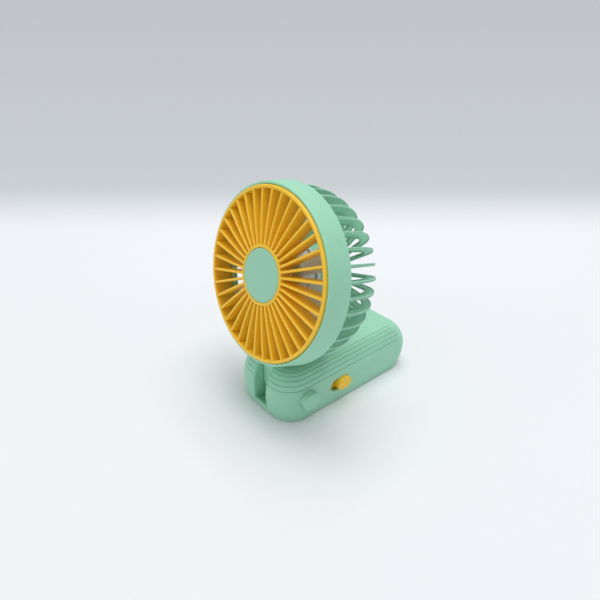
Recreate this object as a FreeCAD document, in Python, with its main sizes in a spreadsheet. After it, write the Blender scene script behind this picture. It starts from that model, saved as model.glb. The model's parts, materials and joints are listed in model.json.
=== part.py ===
"""Folding pocket fan: a rechargeable handle that lies flat as a stand, with a fan head hinged to its nose.

Frame: +Z up, -Y the way the fan blows, +X the side that carries the release button and the switch.
The origin lies on the handle's flat underside, straight below the hinge axis. Lengths are millimetres.
"""
import FreeCAD, Part
import math
import os
from types import SimpleNamespace

import Sketcher

Vector = FreeCAD.Vector
Rotation = FreeCAD.Rotation
Placement = FreeCAD.Placement

doc = FreeCAD.newDocument("FoldingPocketFan")

# -------------------------------------------------- driving dimensions
# Each row is a cell of the sheet: its alias, its number and what it measures.
DIMENSIONS = (
    # handle, outside
    ("handle_width", "44", "across the two cheeks"),
    ("handle_length", "91", "nose to tail"),
    ("handle_height", "28.2", "underside to crown"),
    ("nose_reach", "14.5", "hinge axis to the nose"),
    ("widest_height", "12.4", "height at which the handle is widest"),
    ("side_rounding", "8", "how far the sides draw in by the crown"),
    ("nose_rounding", "9", "how far the nose draws in by the crown"),
    ("tail_rounding", "13", "how far the tail draws in by the crown"),
    ("side_undercut", "0.6", "how far the sides draw in by the underside"),
    ("nose_undercut", "1.1", "how far the nose draws in by the underside"),
    ("tail_undercut", "5.5", "how far the tail draws in by the underside"),
    ("nose_corner", "13", "plan radius of the two front corners"),
    ("tail_corner", "9", "plan radius of the two rear corners"),
    ("foot_rounding", "1.6", "radius round the underside"),
    ("wall", "1.8", "moulded wall of the handle"),
    ("base_thickness", "2.4", "plate that closes the handle from below"),
    ("groove_count", "5", "fine grip lines round the handle"),
    ("groove_start", "26", "place of the lowest grip line on the crown's curve, in degrees"),
    ("groove_step", "11.2", "from one grip line to the next on that curve, in degrees"),
    ("groove_depth", "0.3", "depth of a grip line"),
    ("groove_width", "0.4", "width of a grip line"),
    # hinge
    ("hinge_height", "12.8", "hinge axis above the underside"),
    ("slot_width", "9.6", "slot between the cheeks"),
    ("sill_setback", "1.7", "nose to the rear of the low sill in front of the slot"),
    ("knuckle_radius", "8", "rounded foot of the neck"),
    ("knuckle_gap", "0.3", "each side of the neck, and under it"),
    ("slot_clearance", "0.7", "behind the neck"),
    ("slot_rounding", "1.4", "edges of the slot"),
    ("pin_radius", "1.5", "hinge pin"),
    ("pin_head_radius", "2.4", "head of the hinge pin"),
    ("pin_head_length", "1.2", "head of the hinge pin"),
    ("pin_reach", "7.2", "hinge pin beyond the slot's cheek wall, into the sleeve"),
    ("running_gap", "0.05", "radial gap of a shaft in its hole"),
    ("fit_gap", "0.1", "gap between fitted mouldings"),
    ("boss_radius", "4.6", "boss that holds the pin in the plain cheek"),
    ("bush_radius", "3", "hinge bush"),
    ("pin_cap_radius", "3.4", "plug over the pin's hole"),
    # release button
    ("button_radius", "4.8", "button face"),
    ("button_proud", "3.5", "button face beyond the handle's side"),
    ("button_rounding", "1", "edge of the button"),
    ("button_travel", "2.4", "press"),
    ("button_flange", "0.9", "rim that keeps the button in"),
    ("flange_thickness", "1.2", "that rim's thickness"),
    ("sleeve_radius", "3.4", "lock sleeve on the button"),
    ("sleeve_bite", "1", "sleeve's reach into the knuckle at rest"),
    ("spring_wire", "0.6", "wire diameter of the button spring"),
    ("spring_turns", "6", "turns of the button spring"),
    # switch
    ("switch_middle", "21.8", "hinge axis to the middle of the switch slot"),
    ("switch_height", "11.6", "middle of the switch slot above the underside"),
    ("switch_slot_length", "13.2", "slot in the handle's side"),
    ("switch_slot_height", "7.2", "slot in the handle's side"),
    ("knob_length", "9.3", "sliding knob"),
    ("knob_proud", "2", "knob beyond the handle's side"),
    ("knob_rounding", "0.7", "edge of the knob"),
    ("slider_thickness", "1.3", "plate behind the slot"),
    ("slider_overlap", "1", "plate beyond the slot, above and below"),
    ("slider_setback", "2.5", "plate's outer face behind the handle's side"),
    ("switch_case_length", "11", "slide switch on the board"),
    ("switch_case_depth", "5.4", "slide switch on the board"),
    ("switch_case_height", "5.8", "slide switch on the board"),
    ("stem_width", "2", "switch stem"),
    # inside the handle
    ("post_height", "4.2", "posts under the board"),
    ("post_radius", "2.1", "posts under the board"),
    ("board_thickness", "1.6", "circuit board"),
    ("board_width", "20", "circuit board"),
    ("board_front", "12.5", "hinge axis to the board's front edge"),
    ("board_tab_length", "18", "side tab that carries the switch"),
    ("board_tab_reach", "17", "mid-plane to the tab's edge"),
    ("battery_thickness", "9", "flat lithium cell"),
    ("battery_gap", "0.6", "round the cell, to the slot's rear wall and to the rear columns"),
    ("battery_setback", "8", "each side of the handle to the cell"),
    ("tape_thickness", "1", "foam tape over the cell"),
    ("tape_cover", "0.6", "share of the cell's length under the tape"),
    ("usb_width", "8.94", "charging socket"),
    ("usb_height", "3.26", "charging socket"),
    ("usb_depth", "7.3", "charging socket"),
    ("usb_wall", "0.3", "charging socket"),
    ("usb_tongue_width", "6.6", "contact tongue of the charging socket"),
    ("usb_tongue_length", "5.5", "contact tongue of the charging socket"),
    ("led_length", "2", "charge lamp"),
    ("led_offset", "7.6", "mid-plane to the charge lamp"),
    ("window_radius", "0.9", "window of the charge lamp"),
    # screws
    ("screw_radius", "1", "self-tapping screw"),
    ("screw_head_radius", "1.9", "self-tapping screw"),
    ("screw_head_length", "1.1", "self-tapping screw"),
    ("drive_span", "1.2", "cross of a screw, as a share of its head's radius"),
    ("drive_width", "0.3", "arm of that cross, as a share of the radius"),
    ("base_screw_length", "8", "under the head"),
    ("board_screw_length", "3", "under the head"),
    ("column_radius", "2.3", "screw columns of the handle"),
    ("front_column_side", "13", "mid-plane to the front columns"),
    ("front_column_lead", "8.4", "hinge axis forward to the front columns"),
    ("rear_column_side", "15", "mid-plane to the rear columns"),
    ("rear_column_inset", "11", "tail to the rear columns"),
    # head
    ("head_tilt", "14.6", "how far the head leans back, in degrees"),
    ("head_lead", "8.5", "hinge axis forward to the middle of the rim"),
    ("head_rise", "63.8", "hinge axis up to the middle of the rim"),
    ("rim_radius", "41", "outer radius of the front grille"),
    ("rim_band", "1.7", "front band of the grille"),
    ("skirt_depth", "9.4", "grille's wall inside the ring"),
    ("crown_rise", "2.2", "middle of the grille ahead of its rim"),
    ("crown_fall", "1.05", "dome of the grille from middle to rim"),
    ("fin_count", "36", "radial fins of the grille"),
    ("fin_thickness", "1.2", "fins of the grille"),
    ("fin_back", "5", "back edge of the fins behind the rim"),
    ("fin_turn", "6", "angle of the first fin, in degrees"),
    ("hub_radius", "14.2", "grille's middle ring"),
    ("cap_radius", "12.7", "disc in the grille's middle"),
    ("cap_thickness", "1.4", "disc in the grille's middle"),
    ("hub_floor", "1.3", "floor under the disc"),
    ("peg_radius", "2", "peg of the disc"),
    ("bead_height", "0.35", "snap bead round the skirt"),
    ("bead_depth", "6.5", "snap bead behind the rim"),
    ("ring_wall", "1.4", "ring of the housing round the grille, at its front edge"),
    ("ring_flare", "1.4", "how much wider the ring is at its back edge"),
    ("ring_depth", "11.7", "ring of the housing"),
    ("cage_radius", "42.2", "outside of the rear ribs"),
    ("cage_straight", "18.6", "rim to where the ribs start to turn in"),
    ("cage_depth", "38.4", "rim to the back of the housing"),
    ("cage_shoulder", "12.1", "how far the ribs turn in"),
    ("rib_depth", "4.8", "depth of a rib"),
    ("rib_thickness", "1.3", "rear ribs"),
    ("rib_count", "36", "rear ribs"),
    ("rib_turn", "5", "angle of the first rib, in degrees"),
    ("neck_rounding", "0.8", "edges of the neck"),
    # motor
    ("motor_radius", "10", "motor can"),
    ("motor_length", "14", "motor can"),
    ("can_wall", "0.8", "motor can"),
    ("nose_boss_radius", "3", "boss round the motor's front bush"),
    ("cup_radius", "13.5", "cup that holds the motor"),
    ("cup_floor", "1.5", "floor of that cup"),
    ("end_cap_thickness", "2", "plastic end of the motor"),
    ("magnet_thickness", "1.4", "motor magnets"),
    ("magnet_length", "9", "motor magnets"),
    ("magnet_angle", "130", "arc of one magnet, in degrees"),
    ("air_gap", "0.6", "rotor to magnets"),
    ("core_length", "8.4", "wound rotor"),
    ("shaft_radius", "0.75", "motor shaft"),
    ("motor_bush_radius", "2.1", "motor bushes"),
    ("motor_bush_length", "1.6", "motor bushes"),
    ("retainer_thickness", "1.5", "plate over the motor"),
    ("retainer_screw_radius", "0.8", "screws of that plate"),
    ("retainer_head_radius", "1.4", "screws of that plate"),
    ("retainer_head_length", "0.9", "screws of that plate"),
    ("retainer_screw_length", "5.5", "under the head"),
    ("retainer_circle", "11.7", "pitch radius of those screws"),
    ("retainer_screws", "3", "screws of that plate"),
    # impeller
    ("impeller_radius", "35.8", "tip of the blades"),
    ("impeller_hub", "13.3", "hub of the impeller"),
    ("impeller_gap", "0.75", "screws of the motor's plate to the back of the hub"),
    ("impeller_hub_length", "8.4", "hub of the impeller"),
    ("impeller_wall", "1.2", "hub of the impeller"),
    ("impeller_boss", "2.4", "boss round the shaft"),
    ("blade_count", "7", "blades"),
    ("blade_thickness", "1.1", "blades"),
    ("blade_setback", "4.7", "front of the hub to the middle of the blades"),
    ("blade_camber", "0.07", "camber of a blade, as a share of its width"),
    ("blade_root_chord", "12", "width of a blade at the hub"),
    ("blade_tip_chord", "22", "width of a blade at its tip"),
    ("blade_root_pitch", "36", "angle of a blade at the hub, in degrees"),
    ("blade_tip_pitch", "24", "angle of a blade at its tip, in degrees"),
)

sheet = doc.addObject("Spreadsheet::Sheet", "Sizes")
for row, (alias, number, meaning) in enumerate(DIMENSIONS, start=1):
    sheet.set(f"A{row}", alias)
    sheet.set(f"B{row}", number)
    sheet.set(f"C{row}", meaning)
    sheet.setAlias(f"B{row}", alias)
doc.recompute()


class Size:
    """A number together with the spreadsheet expression that gives it, so that sums stay bound."""

    def __init__(self, value, text):
        self.value = value
        self.text = text

    def __float__(self):
        return float(self.value)

    def __add__(self, other):
        other = as_size(other)
        return Size(self.value + other.value, f"({self.text} + {other.text})")

    def __sub__(self, other):
        other = as_size(other)
        return Size(self.value - other.value, f"({self.text} - {other.text})")

    def __mul__(self, other):
        other = as_size(other)
        return Size(self.value * other.value, f"({self.text} * {other.text})")

    def __truediv__(self, other):
        other = as_size(other)
        return Size(self.value / other.value, f"({self.text} / {other.text})")

    def __neg__(self):
        return Size(-self.value, f"(0 - {self.text})")


def as_size(number):
    """A plain number as a Size."""
    return number if isinstance(number, Size) else Size(number, repr(number))


size = SimpleNamespace(**{alias: Size(sheet.get(alias), f"Sizes.{alias}") for alias, _, _ in DIMENSIONS})
ZERO = as_size(0.0)

# -------------------------------------------------- places worked out from the dimensions
side = size.handle_width / 2
nose = -size.nose_reach
slot_rear = size.knuckle_radius + size.slot_clearance
sill_top = size.hinge_height - size.knuckle_radius - size.knuckle_gap
tail = size.handle_length - size.nose_reach
neck_half = size.slot_width / 2 - size.knuckle_gap
cheek = size.slot_width / 2 + size.wall
inner_side = side - size.wall
board_bottom = size.base_thickness + size.post_height
board_top = board_bottom + size.board_thickness
board_drop = as_size(1) - board_bottom / size.widest_height
board_rear = tail - size.wall - size.tail_undercut * board_drop * board_drop - size.fit_gap * 2
ring_front_radius = size.rim_radius + size.ring_wall
ring_back_radius = ring_front_radius + size.ring_flare
can_back = -size.cage_depth + size.cup_floor + size.fit_gap
can_front = can_back + size.motor_length
retainer_low = can_front + size.running_gap
retainer_top = retainer_low + size.retainer_thickness
impeller_back = retainer_top + size.retainer_head_length + size.impeller_gap
impeller_front = impeller_back + size.impeller_hub_length
column_places = (
    (size.front_column_side, -size.front_column_lead),
    (-size.front_column_side, -size.front_column_lead),
    (size.rear_column_side, tail - size.rear_column_inset),
    (-size.rear_column_side, tail - size.rear_column_inset),
)
post_side = size.board_width / 2 - size.post_radius - 1
post_places = (
    (post_side, size.board_front + size.post_radius * 2),
    (-post_side, size.board_front + size.post_radius * 2),
    (post_side, tail - size.usb_depth * 2),
    (-post_side, tail - size.usb_depth * 2),
)

# The head leans back about the hinge: its own axis, local +Z, points out of the grille.
head_pose = Placement(
    Vector(0, -float(size.head_lead), float(size.hinge_height + size.head_rise)),
    Rotation(Vector(1, 0, 0), 90 - float(size.head_tilt)),
)
# Pieces turned about the hinge axis: local +Z is the handle's +X.
hinge_pose = Placement(Vector(0, 0, float(size.hinge_height)), Rotation(Vector(0, 1, 0), 90))

nodes = []


# -------------------------------------------------- helpers for bodies and sketches
def new_body(label, pose=None):
    """A PartDesign body that becomes one node."""
    body = doc.addObject("PartDesign::Body", label)
    body.Label = label
    if pose is not None:
        body.Placement = pose
    nodes.append(body)
    return body


def origin_feature(body, role):
    """One of the body's own origin planes or axes."""
    return next(item for item in body.Origin.OriginFeatures if item.Role == role)


def new_sketch(body, role="XY_Plane", height=None):
    """A sketch on an origin plane of the body, or at a bound height over it."""
    sketch = body.newObject("Sketcher::SketchObject", f"{body.Label}_sketch")
    sketch.AttachmentSupport = [(origin_feature(body, role), "")]
    sketch.MapMode = "FlatFace"
    if height is not None:
        sketch.AttachmentOffset = Placement(Vector(0, 0, float(height)), Rotation())
        sketch.setExpression(".AttachmentOffset.Base.z", height.text)
    return sketch


def constrain(sketch, kind, *picks, value):
    """Add one dimension to a sketch and bind it to the sheet."""
    value = as_size(value)
    index = sketch.addConstraint(Sketcher.Constraint(kind, *picks, float(value)))
    sketch.setExpression(f"Constraints[{index}]", value.text)


def draw_outline(sketch, points, arcs=None):
    """A closed outline through points; an edge listed in arcs bulges as an arc of that radius."""
    arcs = arcs or {}
    places = [Vector(float(x), float(y), 0) for x, y in points]
    for number, start in enumerate(places):
        end = places[(number + 1) % len(places)]
        if number in arcs:
            radius, turn = arcs[number]
            chord = end - start
            reach = math.sqrt(max(float(radius) ** 2 - (chord.Length / 2) ** 2, 0))
            across = Vector(chord.y, -chord.x, 0).normalize() * turn
            crown = (start + end) / 2 + across * (float(radius) - reach)
            sketch.addGeometry(Part.Arc(start, crown, end), False)
        else:
            sketch.addGeometry(Part.LineSegment(start, end), False)
    for number, (x, y) in enumerate(points):
        before = (number - 1) % len(points)
        vertex = end_at(sketch, number, places[number])
        neighbour = end_at(sketch, before, places[number])
        sketch.addConstraint(Sketcher.Constraint("Coincident", before, neighbour, number, vertex))
        constrain(sketch, "DistanceX", -1, 1, number, vertex, value=x)
        constrain(sketch, "DistanceY", -1, 1, number, vertex, value=y)
    for number, (radius, _) in arcs.items():
        constrain(sketch, "Radius", number, value=radius)


def end_at(sketch, number, place):
    """Which end of an edge lies at a place: 1 for its start, 2 for its end."""
    edge = sketch.Geometry[number]
    return 1 if (edge.StartPoint - place).Length <= (edge.EndPoint - place).Length else 2


def draw_circle(sketch, x, y, radius):
    """A circle with a bound centre and radius."""
    circle = Part.Circle(Vector(float(x), float(y), 0), Vector(0, 0, 1), float(radius))
    index = sketch.addGeometry(circle, False)
    constrain(sketch, "Radius", index, value=radius)
    constrain(sketch, "DistanceX", -1, 1, index, 3, value=x)
    constrain(sketch, "DistanceY", -1, 1, index, 3, value=y)


def draw_box(sketch, x_low, y_low, x_high, y_high):
    """A rectangle between two bound corners."""
    draw_outline(sketch, [(x_low, y_low), (x_high, y_low), (x_high, y_high), (x_low, y_high)])


def draw_stadium(sketch, x, y, length, height):
    """A slot shape along the sketch's X: two straight sides and two round ends."""
    reach = (length - height) / 2
    radius = height / 2
    start = Part.Arc(
        Vector(float(x - reach), float(y + radius), 0),
        Vector(float(x - reach - radius), float(y), 0),
        Vector(float(x - reach), float(y - radius), 0),
    )
    end = Part.Arc(
        Vector(float(x + reach), float(y - radius), 0),
        Vector(float(x + reach + radius), float(y), 0),
        Vector(float(x + reach), float(y + radius), 0),
    )
    first = sketch.addGeometry(start, False)
    last = sketch.addGeometry(end, False)
    lower = sketch.addGeometry(Part.LineSegment(start.EndPoint, end.StartPoint), False)
    upper = sketch.addGeometry(Part.LineSegment(end.EndPoint, start.StartPoint), False)
    for arc, line, arc_place, line_end in (
        (first, lower, start.EndPoint, 1),
        (last, lower, end.StartPoint, 2),
        (last, upper, end.EndPoint, 1),
        (first, upper, start.StartPoint, 2),
    ):
        arc_end = end_at(sketch, arc, arc_place)
        sketch.addConstraint(Sketcher.Constraint("Tangent", arc, arc_end, line, line_end))
    constrain(sketch, "Radius", first, value=radius)
    constrain(sketch, "DistanceX", -1, 1, first, 3, value=x - reach)
    constrain(sketch, "DistanceY", -1, 1, first, 3, value=y)
    constrain(sketch, "DistanceX", -1, 1, last, 3, value=x + reach)
    constrain(sketch, "DistanceY", -1, 1, last, 3, value=y)


def add_pad(body, sketch, length, symmetric=False, backwards=False):
    """Pad a sketch by a bound length."""
    feature = body.newObject("PartDesign::Pad", f"{body.Label}_pad")
    feature.Profile = sketch
    feature.SideType = "Symmetric" if symmetric else "One side"
    feature.Reversed = backwards
    feature.setExpression("Length", as_size(length).text)
    doc.recompute()
    return feature


def add_pocket(body, sketch, depth, symmetric=False, backwards=False):
    """Cut a sketch into the body by a bound depth, and make sure that it cuts."""
    before = body.Shape.Volume
    feature = body.newObject("PartDesign::Pocket", f"{body.Label}_pocket")
    feature.Profile = sketch
    feature.SideType = "Symmetric" if symmetric else "One side"
    feature.Reversed = backwards
    feature.setExpression("Length", as_size(depth).text)
    doc.recompute()
    if body.Shape.Volume >= before:
        raise RuntimeError(f"{feature.Name} removes nothing from {body.Label}")
    return feature


def add_revolution(body, sketch, role="Z_Axis"):
    """Turn a sketch a full circle about an axis of the body."""
    feature = body.newObject("PartDesign::Revolution", f"{body.Label}_turning")
    feature.Profile = sketch
    feature.ReferenceAxis = (origin_feature(body, role), [""])
    feature.Angle = 360
    doc.recompute()
    return feature


def add_polar_pattern(body, feature, count):
    """Repeat a feature round the body's Z axis."""
    pattern = body.newObject("PartDesign::PolarPattern", f"{body.Label}_pattern")
    pattern.Originals = [feature]
    pattern.Axis = (origin_feature(body, "Z_Axis"), [""])
    pattern.Angle = 360
    pattern.setExpression("Occurrences", count.text)
    body.Tip = pattern
    doc.recompute()
    return pattern


def add_fillet(body, feature, radius, picks):
    """Round the edges of a feature that a test picks."""
    names = [f"Edge{n}" for n, edge in enumerate(feature.Shape.Edges, start=1) if picks(edge)]
    fillet = body.newObject("PartDesign::Fillet", f"{body.Label}_rounding")
    fillet.Base = (feature, names)
    fillet.setExpression("Radius", as_size(radius).text)
    doc.recompute()
    return fillet


def turn_profile(label, pose, points, arcs=None):
    """A round piece, from half its section: points are (distance from the axis, height)."""
    body = new_body(label, pose)
    sketch = new_sketch(body, "XZ_Plane")
    draw_outline(sketch, points, arcs)
    add_revolution(body, sketch)
    return body


def new_feature(label, shape, pose=None):
    """A node whose shape is worked out with Part's own functions."""
    feature = doc.addObject("Part::Feature", label)
    feature.Label = label
    feature.Shape = shape
    if pose is not None:
        feature.Placement = pose
    nodes.append(feature)
    return feature


def turned_solid(points):
    """A solid of revolution about Z from (radius, height) points."""
    places = [Vector(float(radius), 0, float(height)) for radius, height in points]
    face = Part.Face(Part.makePolygon(places + places[:1]))
    return face.revolve(Vector(0, 0, 0), Vector(0, 0, 1), 360)


def box_between(low, high):
    """A box between two corners."""
    low = [float(value) for value in low]
    high = [float(value) for value in high]
    return Part.makeBox(*(b - a for a, b in zip(low, high)), Vector(*low))


def upright_rod(radius, x, y, low, high):
    """A cylinder along Z."""
    return Part.makeCylinder(float(radius), float(high) - float(low), Vector(float(x), float(y), float(low)))


def cross_rod(radius, low, high):
    """A cylinder on the hinge axis, between two distances from the mid-plane."""
    start = Vector(float(low), 0, float(size.hinge_height))
    return Part.makeCylinder(float(radius), float(high) - float(low), start, Vector(1, 0, 0))


# -------------------------------------------------- handle: form shared by shell and base
def rounded_outline(half_width, front, rear, front_corner, rear_corner, height):
    """A level outline with one radius at its front corners and another at its rear corners."""
    corners = (
        (half_width - rear_corner, rear - rear_corner, rear_corner, 0),
        (rear_corner - half_width, rear - rear_corner, rear_corner, 90),
        (front_corner - half_width, front + front_corner, front_corner, 180),
        (half_width - front_corner, front + front_corner, front_corner, 270),
    )
    arcs = []
    for x, y, radius, start in corners:
        turns = [math.radians(angle) for angle in (start, start + 45, start + 90)]
        on_arc = [Vector(x + radius * math.cos(turn), y + radius * math.sin(turn), height) for turn in turns]
        arcs.append(Part.Arc(*on_arc))
    edges = []
    for arc, following in zip(arcs, arcs[1:] + arcs[:1]):
        edges.append(arc.toShape())
        edges.append(Part.LineSegment(arc.EndPoint, following.StartPoint).toShape())
    return Part.Wire(edges)


def handle_outline(height, inset):
    """The handle's outline at a height, drawn in by an inset all round."""
    middle = float(size.widest_height)
    top = float(size.handle_height) - inset
    if height > middle:
        rise = min((height - middle) / (top - middle), 1)
        draw_in = 1 - math.sqrt(1 - rise * rise)
        sides = float(size.side_rounding) * draw_in
        front = float(size.nose_rounding) * draw_in
        rear = float(size.tail_rounding) * draw_in
    else:
        drop = (1 - height / middle) ** 2
        sides = float(size.side_undercut) * drop
        front = float(size.nose_undercut) * drop
        rear = float(size.tail_undercut) * drop
    return (
        float(side) - inset - sides,
        float(nose) + inset + front,
        float(tail) - inset - rear,
        float(size.nose_corner) - inset - sides / 2,
        float(size.tail_corner) - inset - sides / 2,
        height,
    )


def handle_form(inset, start):
    """The smooth pebble form of the handle, as a loft through level outlines."""
    middle = float(size.widest_height)
    top = float(size.handle_height) - inset
    heights = [start + (middle - start) * step / 3 for step in range(3)]
    heights += [middle + (top - middle) * math.sin(math.radians(angle)) for angle in range(0, 91, 15)]
    outlines = [rounded_outline(*handle_outline(height, inset)) for height in heights]
    return Part.makeLoft(outlines, True, False)


outer_form = handle_form(0, 0)


# -------------------------------------------------- body_shell: upper moulding of the handle
def stadium_prism(length, height, low, high):
    """The switch slot as a solid that runs from one distance off the mid-plane to another."""
    reach = float(length - height) / 2
    radius = float(height) / 2
    y = float(size.switch_middle)
    z = float(size.switch_height)
    x = float(low)
    depth = float(high) - x
    centres = [Vector(x, y + shift, z) for shift in (-reach, reach)]
    ends = [Part.makeCylinder(radius, depth, centre, Vector(1, 0, 0)) for centre in centres]
    middle = Part.makeBox(depth, 2 * reach, 2 * radius, Vector(x, y - reach, z - radius))
    return middle.multiFuse(ends)


def grip_line(turn):
    """A thin level ring that cuts one line at a turn along the crown's curve, and runs out at the tail."""
    crown = float(size.handle_height - size.widest_height)
    height = float(size.widest_height) + crown * math.sin(math.radians(turn))
    half_width, front, rear, front_corner, rear_corner, _ = handle_outline(height, 0)
    depth = float(size.groove_depth)
    low = height - float(size.groove_width) / 2
    core = rounded_outline(
        half_width - depth,
        front + depth,
        rear + float(size.tail_corner) / 4,
        front_corner - depth,
        rear_corner - depth,
        low,
    )
    clear = float(size.wall)
    beyond = float(size.tail_corner)
    around = rounded_outline(half_width + clear, front - clear, rear + beyond, front_corner, rear_corner, low)
    ring = Part.Face(around).cut(Part.Face(core))
    return ring.extrude(Vector(0, 0, float(size.groove_width)))


def slot_prism(top):
    """The hinge slot as a solid: open to the front and the top, with a rear that follows the knuckle."""
    half = float(size.slot_width) / 2
    radius = float(slot_rear)
    hinge = float(size.hinge_height)
    floor = float(size.base_thickness)
    corners = [
        Vector(-half, float(nose) - 1, floor),
        Vector(-half, 0, floor),
        Vector(-half, 0, hinge - radius),
        Vector(-half, radius, hinge),
        Vector(-half, radius, top),
        Vector(-half, float(nose) - 1, top),
    ]
    crown = Vector(-half, radius * math.sin(math.pi / 4), hinge - radius * math.cos(math.pi / 4))
    edges = [Part.LineSegment(a, b).toShape() for a, b in zip(corners, corners[1:] + corners[:1])]
    edges[2] = Part.Arc(corners[2], crown, corners[3]).toShape()
    return Part.Face(Part.Wire(edges)).extrude(Vector(2 * half, 0, 0))


def round_slot(shape):
    """Round the slot's edges where it opens through the outside of the handle."""
    half = float(size.slot_width) / 2
    rear = float(slot_rear)
    near = 0.01
    crown = float(size.handle_height) - near

    def opens_outside(edge):
        """True for the slot's outer edges: up over the nose, along the crown and across its rear."""
        box = edge.BoundBox
        middle = box.Center
        if abs(abs(middle.x) - half) < near and box.XLength < near:
            return box.ZMin > crown or (box.ZMax > crown and middle.y < 0) and box.YMin < float(nose) / 2
        return abs(middle.x) < near and abs(middle.y - rear) < near and box.ZMin > crown

    rim = [edge for edge in shape.Edges if opens_outside(edge)]
    return shape.makeFillet(float(size.slot_rounding), rim)


def make_body_shell():
    """Hollow upper moulding: two cheeks round the hinge slot, and a chamber for cell and board behind."""
    top = size.handle_height + 1
    above_base = box_between((-side - 1, nose - 1, size.base_thickness), (side + 1, tail + 1, top))
    upper = outer_form.common(above_base)
    sill_reach = size.slot_width / 2 + size.slot_rounding
    sill = upper.common(box_between(
        (-sill_reach, nose - 1, size.base_thickness), (sill_reach, nose + size.sill_setback, sill_top),
    ))
    upper = round_slot(upper.cut(slot_prism(float(top)))).fuse(sill)
    block = box_between((-cheek, nose - 1, ZERO), (cheek, slot_rear + size.wall, top))
    columns = [upright_rod(size.column_radius, x, y, ZERO, size.handle_height) for x, y in column_places]
    boss = cross_rod(size.boss_radius, -side, -cheek)
    chamber = handle_form(float(size.wall), float(size.base_thickness) - 1).cut([block, boss] + columns)
    solid = upper.cut(chamber)

    pin_hole = cross_rod(size.pin_radius + size.running_gap, -side, ZERO)
    head_seat_end = -side + size.wall + size.pin_head_length
    head_seat = cross_rod(size.pin_head_radius + size.fit_gap, -side - 1, head_seat_end)
    cap_seat = cross_rod(size.pin_cap_radius + size.fit_gap, -side - 1, -side + size.wall)
    sleeve_hole = cross_rod(size.sleeve_radius + size.running_gap, ZERO, cheek + 1)
    button_hole = cross_rod(size.button_radius + size.fit_gap, inner_side - 1, side + 1)
    flange_radius = size.button_radius + size.button_flange + size.fit_gap * 2
    flange_room = cross_rod(flange_radius, cheek + size.wall, inner_side)
    switch_slot = stadium_prism(size.switch_slot_length, size.switch_slot_height, inner_side - 1, side + 1)
    usb_level = board_top + size.usb_height / 2
    usb_half_width = size.usb_width / 2 + size.fit_gap
    usb_half_height = size.usb_height / 2 + size.fit_gap
    usb_hole = box_between(
        (-usb_half_width, tail - size.tail_corner, usb_level - usb_half_height),
        (usb_half_width, tail + 1, usb_level + usb_half_height),
    )
    window = Part.makeCylinder(
        float(size.window_radius),
        float(size.tail_corner),
        Vector(float(size.led_offset), float(tail - size.tail_corner / 2), float(usb_level)),
        Vector(0, 1, 0),
    )
    screw_holes = [
        upright_rod(
            size.screw_radius + size.running_gap,
            x,
            y,
            size.base_thickness - 1,
            size.screw_head_length + size.base_screw_length + 1,
        )
        for x, y in column_places
    ]
    turns = [size.groove_start + size.groove_step * step for step in range(round(float(size.groove_count)))]
    lines = [grip_line(float(turn)) for turn in turns]
    solid = solid.cut([pin_hole, head_seat, cap_seat, sleeve_hole, button_hole, flange_room])
    solid = solid.cut([switch_slot, usb_hole, window])
    solid = solid.cut(screw_holes)
    solid = solid.cut(lines)
    return keep_largest(solid)


def keep_largest(shape):
    """The main solid of a cut, without the crumbs that a cut can leave."""
    return max(shape.Solids, key=lambda solid: solid.Volume)


new_feature("body_shell", make_body_shell())


# -------------------------------------------------- base_cover: plate that closes the handle
def make_base_cover():
    """Flat plate with a rounded foot, screw holes and four posts for the board."""
    below_shell = box_between((-side - 1, nose - 1, ZERO), (side + 1, tail + 1, size.base_thickness))
    plate = outer_form.common(below_shell)
    foot = [edge for edge in plate.Edges if edge.BoundBox.ZMax < 0.001]
    plate = plate.makeFillet(float(size.foot_rounding), foot)
    post_foot = size.base_thickness / 2
    posts = [upright_rod(size.post_radius, x, y, post_foot, board_bottom) for x, y in post_places]
    solid = plate.multiFuse(posts)
    sink_radius = size.screw_head_radius + size.fit_gap
    sink_depth = size.screw_head_length + size.fit_gap
    for x, y in column_places:
        hole = upright_rod(size.screw_radius + size.fit_gap, x, y, -1, size.base_thickness + 1)
        sink = upright_rod(sink_radius, x, y, -1, sink_depth)
        solid = solid.cut([hole, sink])
    for x, y in post_places:
        low = board_top - size.board_screw_length - size.fit_gap
        solid = solid.cut(upright_rod(size.screw_radius - size.running_gap, x, y, low, board_bottom + 1))
    return solid


new_feature("base_cover", make_base_cover())


# -------------------------------------------------- screws: turned heads on plain shanks
def screw_solid(x, y, seat, head_radius, head_length, radius, length, up):
    """One screw: seat is the level under its head, up is 1 when the head is on top and -1 below."""
    head_low = seat if up > 0 else seat - head_length
    shank_low = seat - length if up > 0 else seat
    head = upright_rod(head_radius, x, y, head_low, head_low + head_length)
    shank = upright_rod(radius, x, y, shank_low, shank_low + length)
    face_level = float(head_low + head_length) if up > 0 else float(head_low)
    arm = float(head_radius * size.drive_span)
    width = float(head_radius * size.drive_width)
    drive_depth = float(head_length) / 2
    low = face_level - drive_depth if up > 0 else face_level - 1
    drive = [
        Part.makeBox(arm, width, drive_depth + 1, Vector(float(x) - arm / 2, float(y) - width / 2, low)),
        Part.makeBox(width, arm, drive_depth + 1, Vector(float(x) - width / 2, float(y) - arm / 2, low)),
    ]
    return head.fuse(shank).cut(drive)


base_screws = [
    screw_solid(
        x, y, size.screw_head_length, size.screw_head_radius, size.screw_head_length - size.fit_gap,
        size.screw_radius, size.base_screw_length, -1,
    )
    for x, y in column_places
]
new_feature("base_screws", Part.makeCompound(base_screws))

board_screws = [
    screw_solid(
        x, y, board_top, size.screw_head_radius, size.screw_head_length,
        size.screw_radius - size.fit_gap, size.board_screw_length, 1,
    )
    for x, y in post_places
]
new_feature("board_screws", Part.makeCompound(board_screws))

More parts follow.
